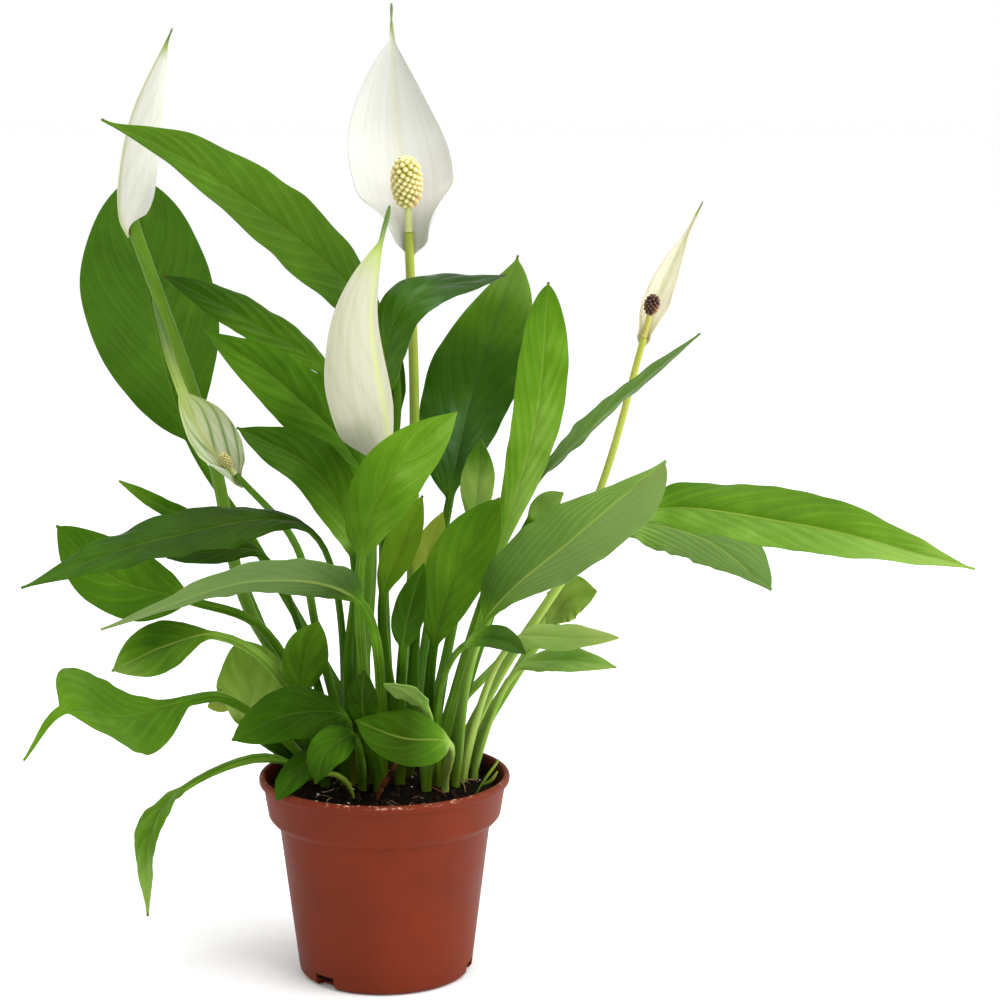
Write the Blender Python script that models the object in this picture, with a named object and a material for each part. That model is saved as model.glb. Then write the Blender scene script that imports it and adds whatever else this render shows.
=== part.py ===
# Potted peace lily in a 12 cm nursery pot: leaves on long stalks, five flowers, soil and pot.
# Blender metres, +Z up. The pot stands on z = 0 and its axis is the Z axis; -Y is the front.
# Every piece is one closed solid, worked out by formula from the millimetre tables below.
import math

import bmesh
import bpy
import numpy as np
from mathutils import Matrix

MM = 0.001
GAP = 0.3               # between pieces that lie against each other, mm

# ---------------------------------------------------------------- pot, mm
POT_H = 97.0            # height of the rim
POT_R = 60.0            # outside radius of the rim
POT_FOOT_R = 41.6       # outside radius of the foot
BAND_LOW = 79.0         # lower edge of the rim band
SHOULDER_LOW = 73.5     # where the band's shoulder meets the tapered body
SHOULDER_R = 50.6       # outside radius at the foot of the shoulder
BAND_R = 55.8           # outside radius where the band starts
LIP_H = 4.5             # height of the rolled lip
LIP_OUT = 2.0           # how far it stands out
WALL = 1.8
FLOOR = 2.6
POT_SIDES = 48
NOTCHES = (-132.0, -12.0, 108.0)      # drain notches round the foot, degrees
NOTCH_W = 12.0
NOTCH_H = 6.0
NOTCH_DEEP = 11.0       # along the radius, half of it inside the foot

# ---------------------------------------------------------------- soil, mm
SOIL_TOP = 88.0
SOIL_SIDES = 24
SOIL_RINGS = (0.22, 0.46, 0.70, 0.90)   # radii of the rings of its lumpy top
LUMPS = 0.9             # height of its lumps
LUMPS_IN = 3.0          # width of the level edge round them
HOLE_LOW = 77.0         # floor of the holes that the stalks stand in
STALK_LOW = 78.0        # lower end of every stalk
HOLE_R = 3.55
HOLE_PLAY = 0.9         # round a flower stem, at least
HOLE_SIDES = 8

# ---------------------------------------------------------------- leaves and flowers, mm
THICK = 0.7             # thickness of a blade and of a spathe
WIDE_LEAF = 20.0        # blades this wide and more have four cells across, the others two
COLUMNS = {2: (-1.0, 0.0, 1.0), 4: (-1.0, -0.48, 0.0, 0.48, 1.0),
           6: (-1.0, -0.66, -0.33, 0.0, 0.33, 0.66, 1.0)}
FOOT_HALF = 2.2         # half width of a leaf stalk in the soil
SHEATH_HALF = 4.0       # half width of the sheath above the soil
SHEATH_AT = 26.0        # height of the sheath's widest place above the stalk's foot
STALK_HALF = 2.1        # half width of a leaf stalk under its blade
STALK_CORE = (1.6, 1.1) # half thickness of a stalk at its foot and under the blade
STALK_CLEAR = 6.0       # how far above the soil a stalk starts to bend
STEPS = 24              # points between two of a curve's given points
RIPPLES = 2.3           # waves along a margin
DRIP = 1.0              # half width where a leaf's drip tip starts
TAIL = 2.2              # the same for a spathe
CLASP = 115.0           # how far round its stem a spathe clasps each way, degrees
CLASP_LOW = 7.0         # how far below the stem's top it starts
CLASP_PLAY = 0.80       # from the stem to the middle of its thickness, beside the gap
CLASP_END = 5.0         # length of it that stays wrapped round
CLASP_OPEN = 22.0       # length over which it opens
NECK = 2.5              # straight start of the bare stalk under a spadix
CURL_R = 1.1            # tightest curl across a spathe
KNOB = 0.11             # relief of the florets as a share of the spadix radius

# The tables below are drawn from EYE and shallow; opened() then draws them out in depth.
EYE = np.array((55.3, -1200.0, 430.0))
OPEN = 1.2              # how much deeper the plant gets, as a share
OPEN_X = 50.0           # how far out from the pot's axis this starts
OPEN_Z = 95.0           # and how high up
OPEN_FAR = 90.0         # how far on from there it is complete

# Colour, roughness of each material, linear RGB
MATERIALS = {
    "terracotta": ((0.290, 0.070, 0.034), 0.55),
    "soil": ((0.018, 0.011, 0.007), 0.95),
    "deep": ((0.020, 0.065, 0.012), 0.38),
    "dark": ((0.035, 0.105, 0.016), 0.42),
    "mid": ((0.075, 0.190, 0.025), 0.45),
    "light": ((0.130, 0.280, 0.035), 0.45),
    "olive": ((0.170, 0.250, 0.060), 0.50),
    "stem": ((0.230, 0.330, 0.070), 0.45),
    "white": ((0.830, 0.830, 0.740), 0.50),
    "ivory": ((0.740, 0.750, 0.560), 0.50),
    "faded": ((0.720, 0.660, 0.480), 0.60),
    "striped": ((0.480, 0.570, 0.290), 0.50),
    "cream": ((0.640, 0.610, 0.240), 0.65),
    "brown": ((0.050, 0.020, 0.009), 0.80),
}

# One row for each leaf: name; foot on the soil (x, y); a point on its stalk or None; where the
# blade starts, its middle (or two points) and its tip (x, y, z); width; where the blade is widest, how much
# lower its right half is widest, how drawn out its ends are (1.4 round to 2.4 slender) and the
# share of its length before the drip tip; the way the upper face looks (x, y, z); fold along
# the rib and roll of the margin (degrees); waviness (mm) and colour.
LEAVES = (
    ("upper_left", (2, 39), (-1, 34, 200), (2, 31, 300), (-78, -2, 381), (-124, -25, 407),
     41, .38, -.05, 2, .95, (.3, -.8, .5), 12, 4, 1.2, "mid"),
    ("back_left", (-11, 46), (-66, 50, 200), (-97, 55, 250), (-117, 65, 319), (-123, 70, 379),
     65, .54, 0, 1.5, .96, (.2, -.95, .2), 10, 6, 1.5, "dark"),
    ("left_high", (-16, 39), None, (-24, 22, 281), (-59, 22, 309), (-103, 14, 334),
     24, .5, 0, 1.8, .94, (.2, -.6, .7), 12, -6, 1, "dark"),
    ("left_mid", (-16, 26), None, (-9, 4, 238), (-45, 2, 282), (-83, 4, 309),
     31, .45, 0, 1.8, .95, (.2, -.85, .45), 10, 4, 1.2, "mid"),
    ("left_fold", (-16, 13), (-17, -3, 150), (-13, -12, 204), (-29, -16, 244), (-67, -10, 265),
     28, .5, 0, 1.7, .95, (.4, -.85, .35), 18, 8, 1, "dark"),
    ("front_bright", (-7, 13), None, (-9, -24, 206), (3, -32, 242), (36, -28, 275),
     30, .5, 0, 1.8, .96, (.2, -.95, .2), 10, 4, 1, "light"),
    ("arching", (-11, 33), None, (-3, 15, 270), (12, 12, 322), (58, 26, 333),
     29, .45, 0, 1.8, .95, (-.3, -.6, .7), 10, -14, 1, "dark"),
    ("broad_dark", (11, 39), None, (31, 35, 224), (43, 50, 278), (64, 45, 341),
     48, .5, -.09, 1.8, .95, (-.2, -.9, .3), 12, 4, 2, "deep"),
    ("tall_bright", (25, 20), None, (50, 0, 190), (72, 0, 268), (78, 10, 331),
     25, .66, 0, 2, .97, (.2, -.95, .1), 12, 4, 1, "light"),
    ("right_edge_on", (25, 33), None, (66, 15, 225), (101, 22, 264), (150, 18, 306),
     19, .45, 0, 1.8, .94, (-.5, .5, .7), 12, 0, 1, "mid"),
    ("right_broad", (34, 7), None, (49, -20, 175), (90, -25, 216), (132, -20, 251),
     40, .5, -.16, 2, .97, (-.3, -.8, .5), 8, 4, 1, "mid"),
    ("far_right", (34, 20), (71, 8, 168), (117, 18, 218), (196, 15, 215), (280, 0, 196),
     44, .42, 0, 1.9, .94, (.1, -.55, .83), 20, -8, 1.6, "light"),
    ("far_right_under", (16, 46), (72, 50, 158), (112, 42, 208), (154, 42, 203), (188, 38, 178),
     38, .52, .12, 2, .97, (.2, -.6, .77), 10, 0, 1, "mid"),
    ("crumpled", (38, 26), None, (79, 28, 162), (89, 24, 177), (102, 22, 181),
     22, .55, 0, 1.8, .97, (-.2, -.9, .4), 16, 20, 1.6, "light"),
    ("right_low", (38, 13), None, (62, -5, 162), (89, -12, 165), (111, -15, 166),
     24, .42, 0, 1.5, .98, (0, -.35, .9), 14, -10, .5, "mid"),
    ("right_lower", (43, 20), None, (64, 18, 143), (86, 12, 149), (111, 6, 147),
     20, .45, 0, 1.8, .95, (0, -.4, .9), 14, -10, .5, "dark"),
    ("small_folded", (25, 7), (27, -7, 140), (40, -27, 166), (55, -32, 169), (67, -34, 163),
     15, .5, 0, 1.6, .97, (0, -.6, .8), 30, 0, .5, "dark"),
    ("saddle", (20, 0), None, (20, -20, 134), (11, -22, 142), (1, -24, 146),
     13, .5, 0, 1.6, .97, (0, .65, .75), 10, -20, .8, "olive"),
    ("front_round", (29, 0), None, (31, -25, 118), (10, -35, 123), (-12, -30, 130),
     28, .48, 0, 1.6, .97, (0, -.8, .6), 12, -4, .6, "light"),
    ("front_left", (-20, 7), None, (-18, -15, 128), (-43, -22, 131), (-70, -28, 120),
     28, .48, 0, 1.6, .96, (0, -.75, .65), 12, -8, .8, "dark"),
    ("front_tip_down", (-11, 0), None, (-14, -26, 122), (-26, -38, 116), (-30, -42, 103),
     18, .42, 0, 1.6, .95, (0, -.9, .4), 16, 0, .5, "light"),
    ("over_rim", (-29, 7), None, (-27, -20, 114), (-40, -33, 105), (-48, -45, 96),
     15, .5, 0, 1.6, .97, (-.2, -.7, .6), 12, 0, .3, "dark"),
    ("low_left", (-38, 20), (-77, -2, 134), (-90, -10, 135), ((-120, -22, 130), (-147, -38, 137)),
     (-165, -42, 114), 50, .67, -.10, 2.2, .74, (0, -.8, .6), 8, 4, 1.2, "mid"),
    ("drooping", (-43, 13), (-60, 0, 104), (-96, -5, 90), (-111, -12, 72), (-113, -15, 30),
     17, .36, 0, 1.8, .94, (-.6, -.6, .5), 22, 0, 1, "mid"),
    ("left_lower", (-34, 26), (-56, 4, 150), (-80, 4, 163), (-104, 4, 158), (-130, 2, 146),
     27, .57, 0, 2.3, .95, (0, -.8, .6), 12, -4, 1, "dark"),
    ("grey_underside", (-2, 7), None, (-10, -32, 188), (-55, -50, 201), (-124, -65, 181),
     29, .36, 0, 1.8, .96, (0, .75, .66), 10, 0, 1, "olive"),
    ("dark_left", (-20, 20), None, (-33, -15, 217), (-100, -30, 216), (-163, -45, 196),
     31, .44, 0, 2, .95, (0, -.5, .87), 12, -10, 2, "deep"),
    ("left_behind", (-29, 32), (-60, 18, 164), (-93, 5, 180), (-128, 0, 192), (-154, 0, 217),
     36, .48, 0, 1.6, .96, (.2, -.85, .5), 10, 0, 1.2, "mid"),
    ("left_far", (-20, 46), (-53, 44, 140), (-83, 30, 208), (-107, 28, 221), (-128, 27, 234),
     9, .5, 0, 1.8, .95, (0, -.7, .7), 14, 0, .5, "mid"),
    ("left_shadow", (-25, 26), None, (-58, 8, 201), (-80, 7, 203), (-103, 7, 200),
     17, .5, 0, 1.8, .95, (0, -.6, .8), 14, 0, .5, "deep"),
    ("pale_young", (-43, 26), None, (-67, 14, 116), (-64, 14, 134), (-70, 14, 159),
     34, .5, 0, 1.6, .96, (.2, -.95, .2), 12, 4, 1, "olive"),
    ("left_inner", (-29, 20), None, (-39, 5, 134), (-38, 4, 152), (-31, 3, 170),
     22, .5, 0, 1.6, .97, (.2, -.95, .2), 12, 0, .6, "dark"),
    ("yellowing", (-38, 33), None, (-66, 16, 128), (-75, 16, 129), (-86, 16, 125),
     15, .5, 0, 1.6, .96, (0, -.7, .7), 14, 0, .6, "olive"),
    ("front_dark", (7, 7), None, (10, -20, 163), (14, -24, 185), (20, -22, 203),
     15, .45, 0, 1.7, .96, (0, -.98, .2), 12, 0, .5, "deep"),
    ("inner_olive", (7, 20), None, (0, -4, 184), (8, -4, 206), (19, -4, 232),
     16, .5, 0, 1.8, .96, (0, -.98, .2), 12, 0, .5, "olive"),
    ("inner_bright", (20, 13), None, (24, -6, 160), (34, -10, 195), (55, -10, 232),
     30, .55, 0, 1.8, .97, (-.1, -.9, .4), 12, 4, .8, "mid"),
    ("inner_yellow", (11, 26), None, (17, 8, 184), (22, 8, 205), (28, 8, 222),
     14, .5, 0, 1.8, .96, (0, -.95, .3), 14, 0, .5, "olive"),
    ("inner_glossy", (20, 39), None, (42, 30, 212), (45, 30, 235), (46, 30, 254),
     17, .5, 0, 1.8, .96, (-.2, -.9, .3), 14, 0, .5, "mid"),
    ("inner_right", (29, 39), None, (70, 37, 213), (78, 36, 221), (86, 35, 227),
     12, .5, 0, 1.8, .96, (0, -.9, .4), 14, 0, .5, "deep"),
    ("inner_back", (-2, 46), None, (-1, 42, 249), (1, 43, 276), (5, 42, 302),
     18, .5, 0, 1.8, .96, (-.2, -.95, .2), 14, 0, .5, "deep"),
    ("small_dark", (-3, -1), None, (-8, -24, 127), (-9, -27, 141), (-8, -27, 153),
     15, .5, 0, 1.6, .96, (0, -.98, .2), 14, 0, .4, "deep"),
)

# ---------------------------------------------------------------- flowers, mm and degrees
# One row for each flower: name; foot on the soil (x, y); points up the stem and its top; the
# spathe's middle and tip; its width; where it is widest, where its body gives way to a narrow
# tail and how much lower its right side is widest (shares of its length); the way it opens
# (x, y, z); its cup from rib to margin (degrees) and waviness (mm); radius of the stem at the
# foot and at the top; radius, length, bare stalk and lean of the spadix; colours of the spathe
# and the spadix.
FLOWERS = (
    ("flower_main", (7, 46), ((12, 42, 180), (14, 36, 270)), (12, 30, 353),
     (6, 42, 405), (4, 40, 460), 48, .42, .86, .05, (0, -1, .05), 34, .8,
     3.0, 2.2, 7.0, 24, 13, .15, "white", "cream"),
    ("flower_left", (-25, 39), ((-31, 37, 112), (-66, 22, 172), (-83, 20, 252)), (-118, 20, 359),
     (-118, 22, 403), (-97, 20, 448), 43, .36, .94, 0, (.85, .45, .1), 70, .8,
     3.0, 3.2, 4.5, 18, 12, .7, "white", "cream"),
    ("flower_closed", (-2, 20), ((-10, 4, 149), (-6, -13, 200)), (0, -18, 256),
     (-4, -20, 318), (5, -16, 368), 52, .36, .86, 0, (-.85, .5, 0), 64, .5,
     2.8, 2.4, 4.5, 18, 12, .6, "ivory", "cream"),
    ("flower_fading", (36, 34), ((50, 37, 115), (78, 38, 165), (105.5, 40, 232)), (124.5, 38, 302),
     (137, 41, 334), (152, 38, 367), 14, .34, .80, 0, (-.2, -1, .1), 60, 1.2,
     2.6, 1.7, 3.3, 9, 13, .25, "faded", "brown"),
    ("flower_young", (-20, 33), ((-32, 12, 160), (-42, 4, 208)), (-69, 2, 241),
     (-92, 2, 274), (-107, 8, 323), 26, .50, .52, 0, (.3, -.6, .75), 50, .6,
     2.4, 1.5, 2.0, 8, 4, .3, "striped", "cream"),
)


# ---------------------------------------------------------------- curves and frames
def unit(v):
    return v / (np.linalg.norm(v, axis=-1, keepdims=True) + 1e-12)


def spline(points):
    """A smooth centripetal curve through the points, closely sampled."""
    p = np.asarray(points, float)
    p = np.vstack([2 * p[0] - p[1], p, 2 * p[-1] - p[-2]])
    out = []
    for a, b, c, d in zip(p, p[1:], p[2:], p[3:]):
        t0 = 0.0
        t1 = t0 + np.linalg.norm(b - a) ** 0.5
        t2 = t1 + np.linalg.norm(c - b) ** 0.5
        t3 = t2 + np.linalg.norm(d - c) ** 0.5
        t = np.linspace(t1, t2, STEPS, endpoint=False)[:, None]
        ab = (t1 - t) / (t1 - t0) * a + (t - t0) / (t1 - t0) * b
        bc = (t2 - t) / (t2 - t1) * b + (t - t1) / (t2 - t1) * c
        cd = (t3 - t) / (t3 - t2) * c + (t - t2) / (t3 - t2) * d
        abc = (t2 - t) / (t2 - t0) * ab + (t - t0) / (t2 - t0) * bc
        bcd = (t3 - t) / (t3 - t1) * bc + (t - t1) / (t3 - t1) * cd
        out.append((t2 - t) / (t2 - t1) * abc + (t - t1) / (t2 - t1) * bcd)
    out.append(p[-2][None, :])
    return np.vstack(out)


def carry(normal, p0, p1, t0, t1):
    """Carry a normal from one point of a curve to the next without twist."""
    v = p1 - p0
    c = max(v @ v, 1e-12)
    n = normal - 2 / c * (v @ normal) * v
    t = t0 - 2 / c * (v @ t0) * v
    w = t1 - t
    return n - 2 / max(w @ w, 1e-12) * (w @ n) * w


def frames(path, at, face):
    """Tangents, normals and side vectors along a path; the normal nears `face` at index `at`."""
    tangent = unit(np.gradient(path, axis=0))
    normal = np.zeros_like(path)
    face = np.asarray(face, float)
    normal[at] = unit(face - (face @ tangent[at]) * tangent[at])
    for i in range(at, len(path) - 1):
        normal[i + 1] = carry(normal[i], path[i], path[i + 1], tangent[i], tangent[i + 1])
    for i in range(at, 0, -1):
        normal[i - 1] = carry(normal[i], path[i], path[i - 1], tangent[i], tangent[i - 1])
    normal = unit(normal - np.sum(normal * tangent, 1, keepdims=True) * tangent)
    return tangent, normal, np.cross(tangent, normal)


def opened(points):
    """Moves points out in depth along their lines from EYE; gives the new points and their scale."""
    out = np.maximum(np.abs(points[:, 0]) - OPEN_X, 0)
    up = np.maximum(points[:, 2] - OPEN_Z, 0)
    far = np.clip(np.hypot(out, up) / OPEN_FAR, 0, 1)
    more = OPEN * far * far * (3 - 2 * far) * points[:, 1]
    scale = 1 + more / (points[:, 1] - EYE[1])
    return EYE + (points - EYE) * scale[:, None], scale


def sampled(values, length, at):
    return np.stack([np.interp(at, length, values[:, k]) for k in range(values.shape[1])], 1)


# ---------------------------------------------------------------- leaf
def blade_shape(t, wide_at, power):
    """Half width along a blade as a share of its largest."""
    q = power * (1 - wide_at)
    p = power * wide_at
    t = np.clip(t, 0, 1)
    peak = wide_at ** p * (1 - wide_at) ** q
    return t ** p * (1 - t) ** q / peak


def section(s, half, fold, edge):
    """Side offset, height and slope across a blade: folded at the rib, rolled to the margin."""
    bend = edge - fold
    bend = np.where(np.abs(bend) < 1e-3, 1e-3, bend)
    slope = fold + bend * np.abs(s)
    side = half * (np.sin(slope) - np.sin(fold)) / bend * np.sign(s)
    rise = half * (np.cos(fold) - np.cos(slope)) / bend
    return side, rise, slope * np.sign(s)


def leaf_mesh(row):
    (name, foot, mid_stalk, base, middle, tip, width, wide_at, skew, point, body, face, fold,
     edge, wave, colour) = row
    wide = width >= WIDE_LEAF
    stalk_points = [(*foot, STALK_LOW), (*foot, SOIL_TOP + STALK_CLEAR)]
    if mid_stalk:
        stalk_points.append(mid_stalk)
    middles = [middle] if np.ndim(middle) == 1 else list(middle)
    path, scale = opened(spline(stalk_points + [base, *middles, tip]))
    length = np.concatenate([[0], np.cumsum(np.linalg.norm(np.diff(path, axis=0), axis=1))])
    base_at = len(stalk_points) * STEPS
    start = length[base_at]
    tangent, normal, side = frames(path, base_at + STEPS, face)

    stalk_at = [0.0, 0.5 * SHEATH_AT, SHEATH_AT]
    bends = 3 if start < 100 else 6 if mid_stalk else 4
    stalk_at += list(np.linspace(SHEATH_AT, start, bends)[1:-1])
    blade_t = np.linspace(0, 1, 10 if wide else 7)
    blade_t = blade_t - 0.06 * np.sin(2 * np.pi * blade_t)
    at = np.concatenate([stalk_at, start + blade_t * (length[-1] - start)])
    t = np.clip((at - start) / (length[-1] - start), 0, 1)
    up = np.clip(at / start, 0, 1)
    centre_line = sampled(path, length, at)
    n = unit(sampled(normal, length, at))
    b = unit(sampled(side, length, at))

    sheath_end = min(2.6 * SHEATH_AT, 0.8 * start)
    clasp = np.interp(at, [0, 9, SHEATH_AT, sheath_end, start],
                      [FOOT_HALF, FOOT_HALF, SHEATH_HALF, 1.2 * STALK_HALF, STALK_HALF])
    clasp = clasp * np.where(t > 0, 1 - 0.75 * t, 1)
    columns = np.array(COLUMNS[4 if wide else 2])
    grown = blade_shape(t[:, None] / body, wide_at - skew * np.sign(columns), point)
    grown = grown * (width / 2 * np.interp(at, length, scale))[:, None]
    least = clasp ** 3 + (DRIP * (1 - t) ** 0.5) ** 3
    half = (least[:, None] + grown ** 3) ** (1 / 3)
    core = np.interp(up, [0, 1], STALK_CORE) * np.where(t > 0, (1 - t) ** 3, 1)
    open_up = np.clip(t * 8, 0, 1)
    fold_r = math.radians(fold) * open_up
    edge_r = math.radians(edge) * open_up
    return skin(centre_line, n, b, half, fold_r, edge_r, core, wave * open_up * (1 - t), t, columns)


def skin(line, n, b, half, fold, edge, core, wave, t, columns):
    """Closed blade or stalk: an upper and a lower face a thickness apart, split alike, with ends."""
    cols = np.array(columns)
    k = len(cols)
    top, low = [], []
    for i in range(len(line)):
        x, z, slope = section(cols, half[i], fold[i], edge[i])
        z = z + wave[i] * np.sin(2 * np.pi * RIPPLES * t[i] + 2.0 * (cols > 0)) * cols ** 2
        thick = THICK / 2 + core[i] * (1 - np.abs(cols))
        nx, nz = -np.sin(slope), np.cos(slope)
        for out, sign in ((top, 1), (low, -1)):
            px, pz = x + sign * thick * nx, z + sign * thick * nz
            out.append(line[i] + px[:, None] * b[i] + pz[:, None] * n[i])
    top, low = np.array(top), np.array(low)
    rows = len(line)
    verts = np.concatenate([top.reshape(-1, 3), low.reshape(-1, 3)])
    m = rows * k
    faces = []
    for i in range(rows - 1):
        for j in range(k - 1):
            a, c = i * k + j, (i + 1) * k + j
            if j < k // 2:
                faces += [(a, a + 1, c + 1), (a, c + 1, c)]
                faces += [(m + a, m + c + 1, m + a + 1), (m + a, m + c, m + c + 1)]
            else:
                faces += [(a, a + 1, c), (a + 1, c + 1, c)]
                faces += [(m + a, m + c, m + a + 1), (m + a + 1, m + c, m + c + 1)]
        for j, flip in ((0, False), (k - 1, True)):
            a, c = i * k + j, (i + 1) * k + j
            quad = [(a, c, m + c), (a, m + c, m + a)]
            faces += [q[::-1] for q in quad] if flip else quad
    for i, flip in ((0, False), (rows - 1, True)):
        for j in range(k - 1):
            a = i * k + j
            quad = [(a, m + a, m + a + 1), (a, m + a + 1, a + 1)]
            faces += [q[::-1] for q in quad] if flip else quad
    return verts, faces


# ---------------------------------------------------------------- flower
def tube(path, radius, sides=6):
    """Closed round stem along a path, thinning from one radius to another."""
    tangent, normal, side = frames(path, len(path) - 1, (0.0, -1.0, 0.2))
    turn = np.arange(sides) * 2 * math.pi / sides
    rings = [path[i] + radius[i] * (np.cos(turn)[:, None] * normal[i] + np.sin(turn)[:, None] * side[i])
             for i in range(len(path))]
    return loft(np.array(rings))


def loft(rings):
    """Closed skin over rings of equal count, with flat ends."""
    rows, k = rings.shape[:2]
    faces = []
    for i in range(rows - 1):
        for j in range(k):
            a, b = i * k + j, i * k + (j + 1) % k
            faces += [(a, b, b + k), (a, b + k, a + k)]
    last = (rows - 1) * k
    for j in range(1, k - 1):
        faces.append((0, j + 1, j))
        faces.append((last, last + j, last + j + 1))
    return rings.reshape(-1, 3), faces


def stem_path(row):
    name, foot, points, top = row[:4]
    return opened(spline([(*foot, STALK_LOW), (*foot, SOIL_TOP + STALK_CLEAR), *points, top]))[0]


def stem_mesh(row, stations=10):
    path = stem_path(row)
    radius_low, radius_top = row[13:15]
    pick = np.linspace(0, len(path) - 1, stations).round().astype(int)
    along = np.linspace(0, 1, stations)
    return tube(path[pick], np.interp(along, [0, 0.3, 1], [radius_low, radius_low, radius_top]))


def spathe_mesh(row, stations=11):
    """The hood behind the spadix: it clasps the stem below, then opens and runs to a drip tip."""
    (name, foot, points, top, middle, tip, width, wide_at, body, skew, face, cup, wave, radius_low,
     radius_top) = row[:15]
    path = stem_path(row)
    up = unit(path[-1] - path[-6])
    face = np.asarray(face, float)
    face = unit(face - (face @ up) * up)
    clasp_r = radius_top + GAP + CLASP_PLAY
    low = path[-1] - CLASP_LOW * up - clasp_r * face
    mouth = path[-1] + 3 * up - (clasp_r + 0.6) * face
    (middle, tip), scale = opened(np.array([middle, tip], float))
    line = spline([low, mouth, middle, tip])
    tangent, normal, side = frames(line, STEPS // 2, face)
    length = np.concatenate([[0], np.cumsum(np.linalg.norm(np.diff(line, axis=0), axis=1))])
    t = np.linspace(0, 1, stations)
    t = t - 0.05 * np.sin(2 * np.pi * t)
    at = t * length[-1]
    clasp = math.radians(CLASP)
    open_up = np.clip((at - CLASP_END) / CLASP_OPEN, 0, 1)
    open_up = open_up * open_up * (3 - 2 * open_up)
    share = np.clip((at - 2) / (body * length[-1] - 2), 0, 1)
    half = []
    for s in COLUMNS[6]:
        grown = blade_shape(share, wide_at - skew * s, 1.7) * width / 2 * scale[0]
        half.append(np.maximum(grown, (clasp_r * clasp) * (1 - open_up)) + TAIL * (1 - t) ** 0.7 + 0.3)
    half = np.array(half).T
    edge = clasp + (math.radians(cup) - clasp) * open_up
    edge = np.minimum(edge, half.min(axis=1) / CURL_R)
    none = np.zeros(stations)
    n = unit(sampled(normal, length, at))
    b = unit(sampled(side, length, at))
    ripple = wave * open_up * (1 - t)
    return skin(sampled(line, length, at), n, b, half, none, edge, none, ripple, t, COLUMNS[6])


def spadix_mesh(row, rings=13, sides=10):
    """The club of florets on its short stalk, knobbly all over."""
    path = stem_path(row)
    radius_top, radius, tall, bare, lean = row[14:19]
    up = unit(path[-1] - path[-6])
    face = np.asarray(row[10], float)
    out = unit(up + lean * unit(face - (face @ up) * up))
    start = path[-1] + GAP * up
    u = np.linspace(0, 1, rings)
    neck = start + NECK * up
    line = neck + np.outer(bare - NECK + u * tall, out)
    line = np.vstack([start, neck, line[:1] - 0.6 * out, line])
    swell = np.sqrt(np.clip(1 - (2 * u - 1) ** 4, 0, 1)) * radius
    swell = np.concatenate([[radius_top * 0.85] * 2 + [radius_top * 0.8], np.maximum(swell, 0.9)])
    tangent, normal, side = frames(line, len(line) - 1, (0.0, -1.0, 0.2))
    turn = np.arange(sides) * 2 * math.pi / sides
    knob = KNOB * (-1.0) ** np.arange(sides)
    rows = []
    for i in range(len(line)):
        knobby = 3 < i < len(line) - 1
        ring = swell[i] * (1 + knobby * knob * (-1.0) ** i)[:, None]
        rows.append(line[i] + ring * (np.cos(turn)[:, None] * normal[i] + np.sin(turn)[:, None] * side[i]))
    return loft(np.array(rows))


# ---------------------------------------------------------------- pot and soil
def pot_profile():
    """Half section of the pot, from the middle of its underside out, up, over and back in."""
    lip_r = POT_R - LIP_OUT
    lip_low = POT_H - LIP_H
    outside = [(0, 0), (POT_FOOT_R - 1.4, 0), (POT_FOOT_R, 1.4), (SHOULDER_R, SHOULDER_LOW)]
    for k in range(1, 5):
        turn = math.radians(90 * k / 4)
        r = SHOULDER_R + (BAND_R - SHOULDER_R) * (1 - math.cos(turn))
        outside.append((r, SHOULDER_LOW + (BAND_LOW - SHOULDER_LOW) * math.sin(turn)))
    outside += [(lip_r, lip_low), (POT_R - 0.4, lip_low + 1.4), (POT_R, POT_H - 1.2)]
    outside += [(POT_R - 1.0, POT_H), (POT_R - 2.6, POT_H - 0.3)]
    inside = [(lip_r - WALL, lip_low - 1), (BAND_R - WALL, BAND_LOW + 1)]
    inside += [(SHOULDER_R - WALL, SHOULDER_LOW - 1), (POT_FOOT_R - WALL, FLOOR), (0, FLOOR)]
    return outside + inside


def spun(name, profile, sides, material_name):
    """A solid turned from its half section, which starts and ends on the axis."""
    bm = bmesh.new()
    verts = [bm.verts.new((r * MM, 0, z * MM)) for r, z in profile]
    edges = [bm.edges.new(pair) for pair in zip(verts, verts[1:])]
    bmesh.ops.spin(bm, geom=verts + edges, cent=(0, 0, 0), axis=(0, 0, 1),
                   angle=2 * math.pi, steps=sides)
    bmesh.ops.remove_doubles(bm, verts=bm.verts, dist=1e-6)
    bmesh.ops.recalc_face_normals(bm, faces=bm.faces)
    mesh = bpy.data.meshes.new(name)
    bm.to_mesh(mesh)
    bm.free()
    return place(name, mesh, material_name)


def soil_profile():
    """Half section of the soil, which fills the pot up to a low, lumpy top."""
    wall = pot_profile()[-2:-7:-1]
    edge = [(r - GAP, z + (GAP if z == FLOOR else 0)) for r, z in wall if z < SOIL_TOP]
    (r0, z0), (r1, z1) = wall[2], wall[3]
    rim_r = r0 + (r1 - r0) * (SOIL_TOP - z0) / (z1 - z0) - GAP
    top = [(rim_r, SOIL_TOP)] + [(rim_r * share, SOIL_TOP) for share in reversed(SOIL_RINGS)]
    return [(0, FLOOR + GAP)] + edge + top + [(0, SOIL_TOP)]


def lump(x, y):
    """Height of the soil's top above its level, mm."""
    wide = math.sin(0.21 * x + 1.3) * math.cos(0.17 * y)
    return LUMPS * (wide + 0.6 * math.sin(0.37 * y + 0.29 * x))


def cutter(name, mesh):
    """A hidden solid that a Boolean takes away."""
    obj = bpy.data.objects.new(name, mesh)
    bpy.context.scene.collection.objects.link(obj)
    obj.hide_render = True
    obj.display_type = "WIRE"
    return obj


def cut(obj, tool):
    modifier = obj.modifiers.new("Cut", "BOOLEAN")
    modifier.operation = "DIFFERENCE"
    modifier.object = tool


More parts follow.
